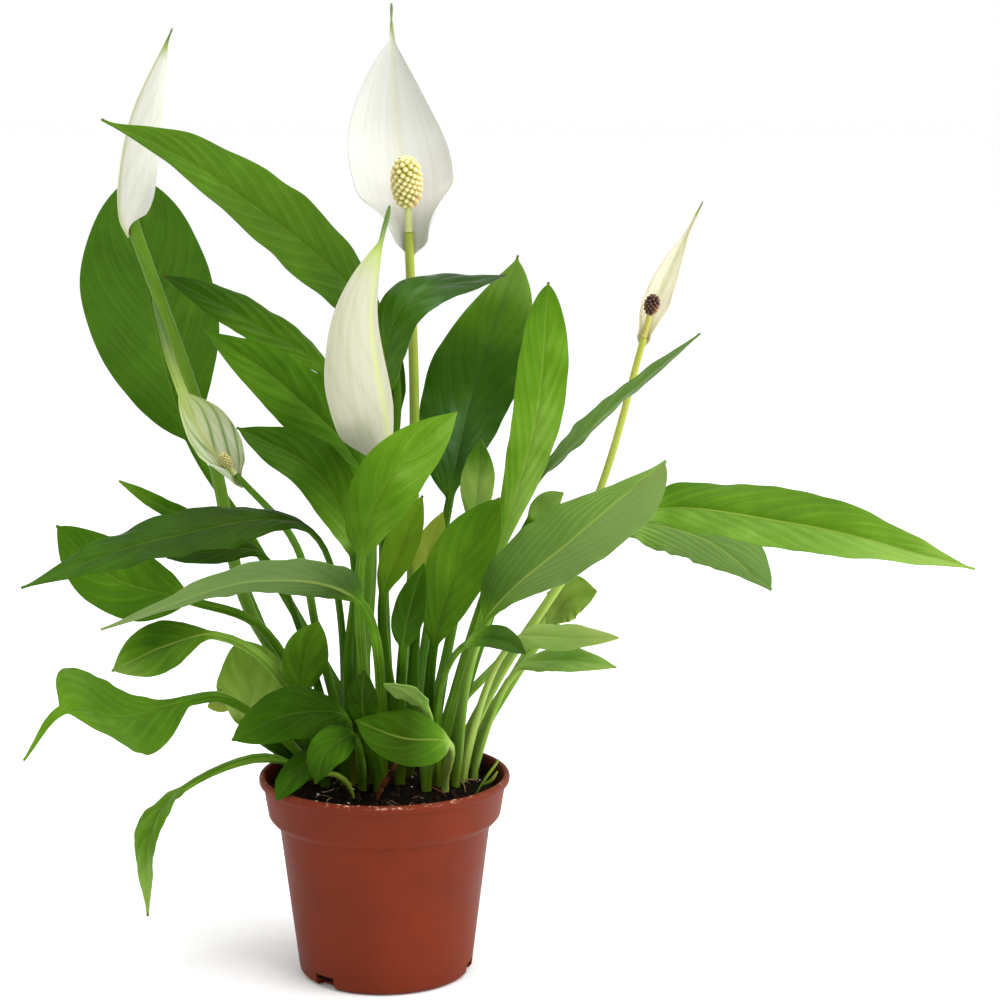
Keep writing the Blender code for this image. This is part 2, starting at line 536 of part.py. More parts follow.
def make_pot():
    pot = spun("pot", pot_profile(), POT_SIDES, "terracotta")
    bm = bmesh.new()
    for angle in NOTCHES:
        block = bmesh.ops.create_cube(bm, size=1.0)["verts"]
        bmesh.ops.scale(bm, verts=block, vec=(NOTCH_DEEP * MM, NOTCH_W * MM, 2 * NOTCH_H * MM))
        bmesh.ops.translate(bm, verts=block, vec=(POT_FOOT_R * MM, 0, 0))
        turn = Matrix.Rotation(math.radians(angle), 3, "Z")
        bmesh.ops.rotate(bm, verts=block, cent=(0, 0, 0), matrix=turn)
    mesh = bpy.data.meshes.new("pot_notches")
    bm.to_mesh(mesh)
    bm.free()
    cut(pot, cutter("pot_notches", mesh))


def make_soil(feet):
    soil = spun("soil", soil_profile(), SOIL_SIDES, "soil")
    for v in soil.data.vertices:
        x, y = v.co.x / MM, v.co.y / MM
        if v.co.z / MM > SOIL_TOP - 0.1 and math.hypot(x, y) < BAND_R - WALL - LUMPS_IN:
            v.co.z += lump(x, y) * MM
    bm = bmesh.new()
    for (x, y), stalk_r in feet:
        radius = max(HOLE_R, stalk_r + HOLE_PLAY) * MM
        hole = bmesh.ops.create_cone(bm, cap_ends=True, segments=HOLE_SIDES, radius1=radius,
                                     radius2=radius, depth=2 * (SOIL_TOP - HOLE_LOW) * MM)
        bmesh.ops.translate(bm, verts=hole["verts"], vec=(x * MM, y * MM, SOIL_TOP * MM))
    mesh = bpy.data.meshes.new("stalk_holes")
    bm.to_mesh(mesh)
    bm.free()
    cut(soil, cutter("stalk_holes", mesh))


# ---------------------------------------------------------------- objects
def material(name):
    found = bpy.data.materials.get(name)
    if found:
        return found
    colour, rough = MATERIALS[name]
    made = bpy.data.materials.new(name)
    made.use_nodes = True
    shader = made.node_tree.nodes["Principled BSDF"]
    shader.inputs["Base Color"].default_value = (*colour, 1.0)
    shader.inputs["Roughness"].default_value = rough
    shader.inputs["Metallic"].default_value = 0.0
    return made


def place(name, mesh, material_name):
    mesh.shade_smooth()
    mesh.set_sharp_from_angle(angle=math.radians(35))
    mesh.materials.append(material(material_name))
    obj = bpy.data.objects.new(name, mesh)
    bpy.context.scene.collection.objects.link(obj)
    return obj


def solid(name, shape, material_name):
    """An object from millimetre vertices and faces."""
    verts, faces = shape
    mesh = bpy.data.meshes.new(name)
    mesh.from_pydata([tuple(v * MM) for v in verts], [], [tuple(f) for f in faces])
    return place(name, mesh, material_name)


def main():
    for obj in list(bpy.data.objects):
        bpy.data.objects.remove(obj)
    make_pot()
    make_soil([(row[1], FOOT_HALF) for row in LEAVES] + [(row[1], row[13]) for row in FLOWERS])
    for row in LEAVES:
        solid("leaf_" + row[0], leaf_mesh(row), row[-1])
    for row in FLOWERS:
        name = row[0]
        solid(name + "_stem", stem_mesh(row), "stem")
        solid(name + "_spathe", spathe_mesh(row), row[-2])
        solid(name + "_spadix", spadix_mesh(row), row[-1])


main()
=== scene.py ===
"""Potted peace lily: waxy leaves on long stalks, five flowers, soil and a nursery pot."""

import math
from collections import namedtuple

import bpy
import numpy as np
from bpy.props import FloatProperty, FloatVectorProperty, IntProperty, PointerProperty
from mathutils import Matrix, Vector, noise


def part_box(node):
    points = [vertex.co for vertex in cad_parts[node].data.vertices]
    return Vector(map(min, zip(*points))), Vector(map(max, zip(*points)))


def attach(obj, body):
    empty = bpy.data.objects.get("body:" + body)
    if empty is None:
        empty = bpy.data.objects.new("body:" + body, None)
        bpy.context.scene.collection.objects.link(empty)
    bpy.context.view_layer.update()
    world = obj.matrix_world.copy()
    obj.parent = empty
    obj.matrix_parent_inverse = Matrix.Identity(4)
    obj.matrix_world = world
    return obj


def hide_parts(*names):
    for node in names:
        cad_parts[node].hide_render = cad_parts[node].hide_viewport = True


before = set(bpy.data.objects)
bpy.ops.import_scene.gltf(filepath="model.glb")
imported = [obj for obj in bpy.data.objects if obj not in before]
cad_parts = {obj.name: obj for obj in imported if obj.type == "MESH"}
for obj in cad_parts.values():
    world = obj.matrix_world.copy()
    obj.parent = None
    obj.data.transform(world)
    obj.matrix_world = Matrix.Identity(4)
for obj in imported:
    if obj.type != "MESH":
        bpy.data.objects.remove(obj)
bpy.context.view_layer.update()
POT_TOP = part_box("pot")[1].z

bl_info = {
    "name": "Potted peace lily",
    "version": (1, 0, 0),
    "blender": (4, 5, 0),
    "location": "View3D > Sidebar > Peace lily",
    "description": "Builds a peace lily in a nursery pot, piece by piece",
    "category": "Add Mesh",
}

MM = 0.001
BODY = "root"
MAP = "venation"

# ---------------------------------------------------------------- tables, mm and degrees
SOIL_TOP = 88.0
STALK_LOW = 78.0        # lower end of every stalk
STALK_CLEAR = 6.0       # how far above the soil a stalk starts to bend
STEPS = 24              # points between two of a curve's given points

# The tables are drawn from EYE and shallow; opened() draws them out in depth.
EYE = np.array((55.3, -1200.0, 430.0))
OPEN = 1.2              # how much deeper the plant gets, as a share
OPEN_X = 50.0           # how far out from the pot's axis this starts
OPEN_Z = 95.0           # and how high up
OPEN_FAR = 90.0         # how far on from there it is complete

# One row for each leaf: name; foot on the soil (x, y); a point on its stalk or None; where the
# blade starts, its middle (or two points) and its tip (x, y, z); width; where the blade is
# widest, how much lower its right half is widest, how drawn out its ends are (1.4 round to 2.4
# slender) and the share of its length before the drip tip; the way the upper face looks
# (x, y, z); fold along the rib and roll of the margin (degrees); waviness (mm) and colour.
LEAVES = (
    ("upper_left", (2, 39), (-1, 34, 200), (2, 31, 300), (-78, -2, 381), (-124, -25, 407),
     41, .38, -.05, 2, .95, (.3, -.8, .5), 12, 4, 1.2, "mid"),
    ("back_left", (-11, 46), (-66, 50, 200), (-97, 55, 250), (-117, 65, 319), (-123, 70, 379),
     65, .54, 0, 1.5, .96, (.2, -.95, .2), 10, 6, 1.5, "dark"),
    ("left_high", (-16, 39), None, (-24, 22, 281), (-59, 22, 309), (-103, 14, 334),
     24, .5, 0, 1.8, .94, (.2, -.6, .7), 12, -6, 1, "dark"),
    ("left_mid", (-16, 26), None, (-9, 4, 238), (-45, 2, 282), (-83, 4, 309),
     31, .45, 0, 1.8, .95, (.2, -.85, .45), 10, 4, 1.2, "mid"),
    ("left_fold", (-16, 13), (-17, -3, 150), (-13, -12, 204), (-29, -16, 244), (-67, -10, 265),
     28, .5, 0, 1.7, .95, (.4, -.85, .35), 18, 8, 1, "dark"),
    ("front_bright", (-7, 13), None, (-9, -24, 206), (3, -32, 242), (36, -28, 275),
     30, .5, 0, 1.8, .96, (.2, -.95, .2), 10, 4, 1, "light"),
    ("arching", (-11, 33), None, (-3, 15, 270), (12, 12, 322), (58, 26, 333),
     29, .45, 0, 1.8, .95, (-.3, -.6, .7), 10, -14, 1, "dark"),
    ("broad_dark", (11, 39), None, (31, 35, 224), (43, 50, 278), (64, 45, 341),
     48, .5, -.09, 1.8, .95, (-.2, -.9, .3), 12, 4, 2, "deep"),
    ("tall_bright", (25, 20), None, (50, 0, 190), (72, 0, 268), (78, 10, 331),
     25, .66, 0, 2, .97, (.2, -.95, .1), 12, 4, 1, "light"),
    ("right_edge_on", (25, 33), None, (66, 15, 225), (101, 22, 264), (150, 18, 306),
     19, .45, 0, 1.8, .94, (-.5, .5, .7), 12, 0, 1, "mid"),
    ("right_broad", (34, 7), None, (49, -20, 175), (90, -25, 216), (132, -20, 251),
     40, .5, -.16, 2, .97, (-.3, -.8, .5), 8, 4, 1, "mid"),
    ("far_right", (34, 20), (71, 8, 168), (117, 18, 218), (196, 15, 215), (280, 0, 196),
     44, .42, 0, 1.9, .94, (.1, -.55, .83), 20, -8, 1.6, "light"),
    ("far_right_under", (16, 46), (72, 50, 158), (112, 42, 208), (154, 42, 203), (188, 38, 178),
     38, .52, .12, 2, .97, (.2, -.6, .77), 10, 0, 1, "mid"),
    ("crumpled", (38, 26), None, (79, 28, 162), (89, 24, 177), (102, 22, 181),
     22, .55, 0, 1.8, .97, (-.2, -.9, .4), 16, 20, 1.6, "light"),
    ("right_low", (38, 13), None, (62, -5, 162), (89, -12, 165), (111, -15, 166),
     24, .42, 0, 1.5, .98, (0, -.35, .9), 14, -10, .5, "mid"),
    ("right_lower", (43, 20), None, (64, 18, 143), (86, 12, 149), (111, 6, 147),
     20, .45, 0, 1.8, .95, (0, -.4, .9), 14, -10, .5, "dark"),
    ("small_folded", (25, 7), (27, -7, 140), (40, -27, 166), (55, -32, 169), (67, -34, 163),
     15, .5, 0, 1.6, .97, (0, -.6, .8), 30, 0, .5, "dark"),
    ("saddle", (20, 0), None, (20, -20, 134), (11, -22, 142), (1, -24, 146),
     13, .5, 0, 1.6, .97, (0, .65, .75), 10, -20, .8, "olive"),
    ("front_round", (29, 0), None, (31, -25, 118), (10, -35, 123), (-12, -30, 130),
     28, .48, 0, 1.6, .97, (0, -.8, .6), 12, -4, .6, "light"),
    ("front_left", (-20, 7), None, (-18, -15, 128), (-43, -22, 131), (-70, -28, 120),
     28, .48, 0, 1.6, .96, (0, -.75, .65), 12, -8, .8, "dark"),
    ("front_tip_down", (-11, 0), None, (-14, -26, 122), (-26, -38, 116), (-30, -42, 103),
     18, .42, 0, 1.6, .95, (0, -.9, .4), 16, 0, .5, "light"),
    ("over_rim", (-29, 7), None, (-27, -20, 114), (-40, -33, 105), (-48, -45, 96),
     15, .5, 0, 1.6, .97, (-.2, -.7, .6), 12, 0, .3, "dark"),
    ("low_left", (-38, 20), (-77, -2, 134), (-90, -10, 135), ((-120, -22, 130), (-147, -38, 137)),
     (-165, -42, 114), 50, .67, -.10, 2.2, .74, (0, -.8, .6), 8, 4, 1.2, "mid"),
    ("drooping", (-43, 13), (-60, 0, 104), (-96, -5, 90), (-111, -12, 72), (-113, -15, 30),
     17, .36, 0, 1.8, .94, (-.6, -.6, .5), 22, 0, 1, "mid"),
    ("left_lower", (-34, 26), (-56, 4, 150), (-80, 4, 163), (-104, 4, 158), (-130, 2, 146),
     27, .57, 0, 2.3, .95, (0, -.8, .6), 12, -4, 1, "dark"),
    ("grey_underside", (-2, 7), None, (-10, -32, 188), (-55, -50, 201), (-124, -65, 181),
     29, .36, 0, 1.8, .96, (0, .75, .66), 10, 0, 1, "olive"),
    ("dark_left", (-20, 20), None, (-33, -15, 217), (-100, -30, 216), (-163, -45, 196),
     31, .44, 0, 2, .95, (0, -.5, .87), 12, -10, 2, "deep"),
    ("left_behind", (-29, 32), (-60, 18, 164), (-93, 5, 180), (-128, 0, 192), (-154, 0, 217),
     36, .48, 0, 1.6, .96, (.2, -.85, .5), 10, 0, 1.2, "mid"),
    ("left_far", (-20, 46), (-53, 44, 140), (-83, 30, 208), (-107, 28, 221), (-128, 27, 234),
     9, .5, 0, 1.8, .95, (0, -.7, .7), 14, 0, .5, "mid"),
    ("left_shadow", (-25, 26), None, (-58, 8, 201), (-80, 7, 203), (-103, 7, 200),
     17, .5, 0, 1.8, .95, (0, -.6, .8), 14, 0, .5, "deep"),
    ("pale_young", (-43, 26), None, (-67, 14, 116), (-64, 14, 134), (-70, 14, 159),
     34, .5, 0, 1.6, .96, (.2, -.95, .2), 12, 4, 1, "olive"),
    ("left_inner", (-29, 20), None, (-39, 5, 134), (-38, 4, 152), (-31, 3, 170),
     22, .5, 0, 1.6, .97, (.2, -.95, .2), 12, 0, .6, "dark"),
    ("yellowing", (-38, 33), None, (-66, 16, 128), (-75, 16, 129), (-86, 16, 125),
     15, .5, 0, 1.6, .96, (0, -.7, .7), 14, 0, .6, "olive"),
    ("front_dark", (7, 7), None, (10, -20, 163), (14, -24, 185), (20, -22, 203),
     15, .45, 0, 1.7, .96, (0, -.98, .2), 12, 0, .5, "deep"),
    ("inner_olive", (7, 20), None, (0, -4, 184), (8, -4, 206), (19, -4, 232),
     16, .5, 0, 1.8, .96, (0, -.98, .2), 12, 0, .5, "olive"),
    ("inner_bright", (20, 13), None, (24, -6, 160), (34, -10, 195), (55, -10, 232),
     30, .55, 0, 1.8, .97, (-.1, -.9, .4), 12, 4, .8, "mid"),
    ("inner_yellow", (11, 26), None, (17, 8, 184), (22, 8, 205), (28, 8, 222),
     14, .5, 0, 1.8, .96, (0, -.95, .3), 14, 0, .5, "olive"),
    ("inner_glossy", (20, 39), None, (42, 30, 212), (45, 30, 235), (46, 30, 254),
     17, .5, 0, 1.8, .96, (-.2, -.9, .3), 14, 0, .5, "mid"),
    ("inner_right", (29, 39), None, (70, 37, 213), (78, 36, 221), (86, 35, 227),
     12, .5, 0, 1.8, .96, (0, -.9, .4), 14, 0, .5, "deep"),
    ("inner_back", (-2, 46), None, (-1, 42, 249), (1, 43, 276), (5, 42, 302),
     18, .5, 0, 1.8, .96, (-.2, -.95, .2), 14, 0, .5, "deep"),
    ("small_dark", (-3, -1), None, (-8, -24, 127), (-9, -27, 141), (-8, -27, 153),
     15, .5, 0, 1.6, .96, (0, -.98, .2), 14, 0, .4, "deep"),
)

# ---------------------------------------------------------------- flowers, mm and degrees
# One row for each flower: name; foot on the soil (x, y); points up the stem and its top; the
# spathe's middle and tip; its width; where it is widest, where its body gives way to a narrow
# tail and how much lower its right side is widest (shares of its length); the way it opens
# (x, y, z); its cup from rib to margin (degrees) and waviness (mm); radius of the stem at the
# foot and at the top; radius, length, bare stalk and lean of the spadix; colours of the spathe
# (hood) and the spadix (club).
Flower = namedtuple("Flower", "name foot points top middle tip width wide_at body skew face cup "
                              "wave radius_low radius_top radius tall bare lean hood club")
FLOWERS = tuple(Flower(*row) for row in (
    ("flower_main", (7, 46), ((12, 42, 180), (14, 36, 270)), (12, 30, 353),
     (6, 42, 405), (4, 40, 460), 48, .42, .86, .05, (0, -1, .05), 34, .8,
     3.0, 2.2, 7.0, 24, 13, .15, "white", "cream"),
    ("flower_left", (-25, 39), ((-31, 37, 112), (-66, 22, 172), (-83, 20, 252)), (-118, 20, 359),
     (-118, 22, 403), (-97, 20, 448), 43, .36, .94, 0, (.85, .45, .1), 70, .8,
     3.0, 3.2, 4.5, 18, 12, .7, "white", "cream"),
    ("flower_closed", (-2, 20), ((-10, 4, 149), (-6, -13, 200)), (0, -18, 256),
     (-4, -20, 318), (5, -16, 368), 52, .36, .86, 0, (-.85, .5, 0), 64, .5,
     2.8, 2.4, 4.5, 18, 12, .6, "ivory", "cream"),
    ("flower_fading", (36, 34), ((50, 37, 115), (78, 38, 165), (105.5, 40, 232)), (124.5, 38, 302),
     (137, 41, 334), (152, 38, 367), 14, .34, .80, 0, (-.2, -1, .1), 60, 1.2,
     2.6, 1.7, 3.3, 9, 13, .25, "faded", "brown"),
    ("flower_young", (-20, 33), ((-32, 12, 160), (-42, 4, 208)), (-69, 2, 241),
     (-92, 2, 274), (-107, 8, 323), 26, .50, .52, 0, (.3, -.6, .75), 50, .6,
     2.4, 1.5, 2.0, 8, 4, .3, "striped", "cream"),
))


# ---------------------------------------------------------------- curves and frames
def unit(v):
    return v / (np.linalg.norm(v, axis=-1, keepdims=True) + 1e-12)


def spline(points):
    """A smooth centripetal curve through the points, closely sampled."""
    p = np.asarray(points, float)
    p = np.vstack([2 * p[0] - p[1], p, 2 * p[-1] - p[-2]])
    out = []
    for a, b, c, d in zip(p, p[1:], p[2:], p[3:]):
        t0 = 0.0
        t1 = t0 + np.linalg.norm(b - a) ** 0.5
        t2 = t1 + np.linalg.norm(c - b) ** 0.5
        t3 = t2 + np.linalg.norm(d - c) ** 0.5
        t = np.linspace(t1, t2, STEPS, endpoint=False)[:, None]
        ab = (t1 - t) / (t1 - t0) * a + (t - t0) / (t1 - t0) * b
        bc = (t2 - t) / (t2 - t1) * b + (t - t1) / (t2 - t1) * c
        cd = (t3 - t) / (t3 - t2) * c + (t - t2) / (t3 - t2) * d
        abc = (t2 - t) / (t2 - t0) * ab + (t - t0) / (t2 - t0) * bc
        bcd = (t3 - t) / (t3 - t1) * bc + (t - t1) / (t3 - t1) * cd
        out.append((t2 - t) / (t2 - t1) * abc + (t - t1) / (t2 - t1) * bcd)
    out.append(p[-2][None, :])
    return np.vstack(out)


def carry(normal, p0, p1, t0, t1):
    """Carry a normal from one point of a curve to the next without twist."""
    v = p1 - p0
    c = max(v @ v, 1e-12)
    n = normal - 2 / c * (v @ normal) * v
    t = t0 - 2 / c * (v @ t0) * v
    w = t1 - t
    return n - 2 / max(w @ w, 1e-12) * (w @ n) * w


def frames(path, at, face):
    """Normals and side vectors along a path; the normal nears `face` at index `at`."""
    tangent = unit(np.gradient(path, axis=0))
    normal = np.zeros_like(path)
    face = np.asarray(face, float)
    normal[at] = unit(face - (face @ tangent[at]) * tangent[at])
    for i in range(at, len(path) - 1):
        normal[i + 1] = carry(normal[i], path[i], path[i + 1], tangent[i], tangent[i + 1])
    for i in range(at, 0, -1):
        normal[i - 1] = carry(normal[i], path[i], path[i - 1], tangent[i], tangent[i - 1])
    normal = unit(normal - np.sum(normal * tangent, 1, keepdims=True) * tangent)
    return normal, np.cross(tangent, normal)


def opened(points):
    """Moves points in depth along their lines from EYE; gives the new points and their scale."""
    out = np.maximum(np.abs(points[:, 0]) - OPEN_X, 0)
    up = np.maximum(points[:, 2] - OPEN_Z, 0)
    far = np.clip(np.hypot(out, up) / OPEN_FAR, 0, 1)
    more = OPEN * far * far * (3 - 2 * far) * points[:, 1]
    scale = 1 + more / (points[:, 1] - EYE[1])
    return EYE + (points - EYE) * scale[:, None], scale


def lengths(path):
    """How far along a path each of its points lies."""
    return np.concatenate([[0], np.cumsum(np.linalg.norm(np.diff(path, axis=0), axis=1))])


def sampled(at, path, *vectors):
    """The point of a path at each length in `at`, and the unit vectors that go with it."""
    length = lengths(path)
    point, *rest = (np.stack([np.interp(at, length, values[:, k]) for k in range(3)], 1)
                    for values in (path, *vectors))
    return point, *(unit(v) for v in rest)


def section(s, half, fold, edge):
    """Side offset and height across a blade: folded at the rib, rolled to the margin."""
    bend = edge - fold
    bend = np.where(np.abs(bend) < 1e-3, 1e-3, bend)
    slope = fold + bend * np.abs(s)
    side = half * (np.sin(slope) - np.sin(fold)) / bend * np.sign(s)
    rise = half * (np.cos(fold) - np.cos(slope)) / bend
    return side, rise


def blade_shape(t, wide_at, power):
    """Half width along a blade as a share of its largest."""
    q = power * (1 - wide_at)
    p = power * wide_at
    t = np.clip(t, 0, 1)
    peak = wide_at ** p * (1 - wide_at) ** q
    return t ** p * (1 - t) ** q / peak


def margin_waves(height, t, s, waves, start, apart, power):
    """Waves along a blade that grow out to its margins, out of step on its two sides."""
    return height * np.sin(2 * np.pi * waves * t + start + apart * (s > 0)) * s ** power


def smooth(x):
    """From 0 to 1 without a corner at either end."""
    x = np.clip(x, 0, 1)
    return x * x * (3 - 2 * x)


# ---------------------------------------------------------------- mesh helpers
def deselect():
    if bpy.context.object and bpy.context.object.mode != "OBJECT":
        bpy.ops.object.mode_set(mode="OBJECT")
    bpy.ops.object.select_all(action="DESELECT")


def choose(piece):
    """Leaves one piece selected and active."""
    deselect()
    piece.select_set(True)
    bpy.context.view_layer.objects.active = piece


def open_mesh(piece):
    """Goes into edit mode with the whole mesh selected."""
    choose(piece)
    bpy.ops.object.mode_set(mode="EDIT")
    bpy.ops.mesh.select_mode(type="EDGE")
    bpy.ops.mesh.select_all(action="SELECT")


def close_mesh():
    """Turns every face outward and leaves edit mode."""
    bpy.ops.mesh.select_all(action="SELECT")
    bpy.ops.mesh.normals_make_consistent(inside=False)
    bpy.ops.object.mode_set(mode="OBJECT")


def new_piece(name):
    """The object just added by a primitive operator, named."""
    piece = bpy.context.object
    piece.name = name
    piece.data.name = name
    return piece


def put_points(piece, points):
    """Moves the vertices to points in mm."""
    piece.data.vertices.foreach_set("co", (np.asarray(points, float) * MM).ravel())
    piece.data.update()


def points_of(piece):
    """The vertices in metres."""
    out = np.empty(len(piece.data.vertices) * 3)
    piece.data.vertices.foreach_get("co", out)
    return out.reshape(-1, 3)


def columns(piece, *values):
    """A row of numbers for each vertex; a value is one number for all, or one for each."""
    return np.column_stack([np.broadcast_to(v, len(piece.data.vertices)) for v in values])


def add_colours(piece, name, *values):
    """A colour attribute with three numbers for each vertex."""
    layer = piece.data.attributes.new(name, "FLOAT_COLOR", "POINT")
    layer.data.foreach_set("color", columns(piece, *values, 1.0).ravel())


def set_map(piece, u, v):
    """The UV map that the finishes follow, from a pair of numbers for each vertex."""
    loops = np.empty(len(piece.data.loops), int)
    piece.data.loops.foreach_get("vertex_index", loops)
    layer = piece.data.uv_layers.new(name=MAP)
    layer.data.foreach_set("uv", columns(piece, u, v)[loops].ravel())


def apply_modifier(piece, kind, **settings):
    choose(piece)
    modifier = piece.modifiers.new(kind.title(), kind)
    for key, value in settings.items():
        setattr(modifier, key, value)
    bpy.ops.object.modifier_apply(modifier=modifier.name)


def round_edges(piece, degrees=50):
    choose(piece)
    bpy.ops.object.shade_smooth_by_angle(angle=math.radians(degrees))


def settle(piece, nodes, slot, *finishes):
    """Gives a finished piece its materials and its place in the frame."""
    piece.data.materials.clear()
    for finish in finishes:
        piece.data.materials.append(finish)
    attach(piece, BODY)
    if nodes:
        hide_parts(*nodes)
    return piece


def join(name, pieces):
    deselect()
    for piece in pieces:
        piece.select_set(True)
    bpy.context.view_layer.objects.active = pieces[0]
    bpy.ops.object.join()
    return new_piece(name)


def grid(name, across, along):
    """A flat grid, and for each vertex its place across (-1 to 1) and along (0 to 1)."""
    deselect()
    bpy.ops.mesh.primitive_grid_add(x_subdivisions=across, y_subdivisions=along, size=2.0)
    piece = new_piece(name)
    flat = points_of(piece)
    return piece, flat[:, 0], (flat[:, 1] + 1) / 2


def thicken(piece, thickness):
    """Gives a sheet its thickness, in mm for each vertex, with the second material below."""
    most = thickness.max()
    group = piece.vertex_groups.new(name="thickness")
    for i, share in enumerate(thickness / most):
        group.add([i], share, "REPLACE")
    apply_modifier(piece, "SOLIDIFY", thickness=most * MM, offset=0.0, use_even_offset=False,
                   vertex_group="thickness", material_offset=1, material_offset_rim=0)
    piece.vertex_groups.clear()


def rod(name, path, radius, sides=14):
    """A round closed rod along a path in mm, from a cylinder cut into rings."""
    deselect()
    bpy.ops.mesh.primitive_cylinder_add(vertices=sides, radius=1.0, depth=2.0)
    piece = new_piece(name)
    bpy.ops.object.mode_set(mode="EDIT")
    bpy.ops.mesh.select_all(action="DESELECT")
    bpy.ops.object.mode_set(mode="OBJECT")
    for edge in piece.data.edges:
        a, b = (piece.data.vertices[i].co for i in edge.vertices)
        edge.select = abs(a.z - b.z) > 1
    bpy.ops.object.mode_set(mode="EDIT")
    bpy.ops.mesh.select_mode(type="EDGE")
    bpy.ops.mesh.subdivide(number_cuts=len(path) - 2)
    bpy.ops.object.mode_set(mode="OBJECT")
    flat = points_of(piece)
    ring = np.rint((flat[:, 2] + 1) / 2 * (len(path) - 1)).astype(int)
    turn = np.arctan2(flat[:, 1], flat[:, 0])
    normal, side = frames(path, len(path) - 1, (0.0, -1.0, 0.2))
    spoke = np.cos(turn)[:, None] * normal[ring] + np.sin(turn)[:, None] * side[ring]
    put_points(piece, path[ring] - radius[ring][:, None] * spoke)
    return piece, ring / (len(path) - 1), turn


# ---------------------------------------------------------------- finishes
def rgb(red, green, blue):
    """Linear colour from the usual 0 to 255 numbers."""
    return tuple(((v / 255 + 0.055) / 1.055) ** 2.4 if v > 10 else v / 255 / 12.92
                 for v in (red, green, blue))


LEAF_STRAW = rgb(168, 180, 92)
LEAF_GREY = rgb(84, 108, 58)
LEAF_YELLOW = rgb(132, 134, 22)
LEAF_VEIN = rgb(150, 158, 108)
LEAF_RIB = rgb(146, 160, 74)
LEAF_DEAD = rgb(86, 48, 18)
SPATHE_VEIN = rgb(92, 126, 40)
SPATHE_RIB = rgb(168, 172, 112)
SPATHE_RIB_BACK = rgb(78, 116, 24)
SPATHE_FLUSH = rgb(140, 160, 66)      # where its green tip begins
SPATHE_AGED = rgb(150, 104, 60)
STEM_YELLOW = rgb(176, 178, 74)
FLORET_BLUSH = rgb(216, 172, 128)
PEAT_CLOD = rgb(12, 9, 7)
# the next colour is painted shade for the pot's inner wall below the rim
POT_INNER_SHADE = rgb(26, 17, 12)
PLASTIC_WORN = rgb(226, 178, 150)


class Finish:
    """A material that grows node by node; every step returns the socket with its result."""

    def __init__(self, name, roughness):
        self.material = bpy.data.materials.new(name)
        self.material.use_nodes = True
        self.tree = self.material.node_tree
        self.shader = self.tree.nodes["Principled BSDF"]
        self.set(Roughness=roughness)

    def node(self, kind, inputs=(), **settings):
        made = self.tree.nodes.new("ShaderNode" + kind)
        for key, value in settings.items():
            setattr(made, key, value)
        for key, value in dict(inputs).items():
            self.put(value, made.inputs[key])
        return made

    def put(self, value, socket):
        if isinstance(value, bpy.types.NodeSocket):
            self.tree.links.new(value, socket)
        else:
            socket.default_value = value

    def set(self, **values):
        for key, value in values.items():
            self.put(value, self.shader.inputs[key.replace("_", " ")])

    def glow(self, weight, *radius):
        """Lets light sink in, to a radius in metres for red, green and blue."""
        self.set(Subsurface_Weight=weight, Subsurface_Radius=radius, Subsurface_Scale=0.5)

    def attribute(self, name):
        colour = self.node("Attribute", attribute_name=name).outputs["Color"]
        return self.node("SeparateColor", {"Color": colour}).outputs

    def place(self):
        return self.node("TexCoord").outputs["Object"]

    def scaled(self, vector, *scale):
        return self.node("Mapping", {"Vector": vector, "Scale": scale}).outputs["Vector"]

    def map(self, across=1.0, along=1.0):
        uv = self.node("UVMap", uv_map=MAP).outputs["UV"]
        return self.scaled(uv, across, along, 1.0)

    def noise(self, vector, scale, detail=3.0, roughness=0.55):
        made = self.node("TexNoise", {"Vector": vector, "Scale": scale, "Detail": detail,
                                      "Roughness": roughness})
        return made.outputs["Fac"]

    def times(self, a, b):
        return self.math("MULTIPLY", a, b)

    def plus(self, a, b):
        return self.math("ADD", a, b)

    def math(self, operation, *values):
        made = self.node("Math", operation=operation)
        for value, socket in zip(values, made.inputs):
            self.put(value, socket)
        return made.outputs[0]

    def span(self, value, low, high, to_low=0.0, to_high=1.0):
        made = self.node("MapRange", {"Value": value, "From Min": low, "From Max": high,
                                      "To Min": to_low, "To Max": to_high})
        return made.outputs["Result"]

    def ramp(self, value, stops):
        made = self.node("ValToRGB", {"Fac": value})
        points = made.color_ramp.elements
        while len(points) < len(stops):
            points.new(0.5)
        for point, (place, colour) in zip(points, stops):
            point.position = place
            point.color = (*colour, 1.0)
        return made.outputs["Color"]

    def mix(self, factor, a, b):
        made = self.node("Mix", data_type="RGBA")
        self.put(factor, made.inputs[0])
        for value, socket in ((a, made.inputs[6]), (b, made.inputs[7])):
            self.put((*value, 1.0) if isinstance(value, tuple) else value, socket)
        return made.outputs[2]

    def bump(self, height, strength, distance):
        made = self.node("Bump", {"Height": height, "Strength": strength, "Distance": distance})
        self.set(Normal=made.outputs["Normal"])


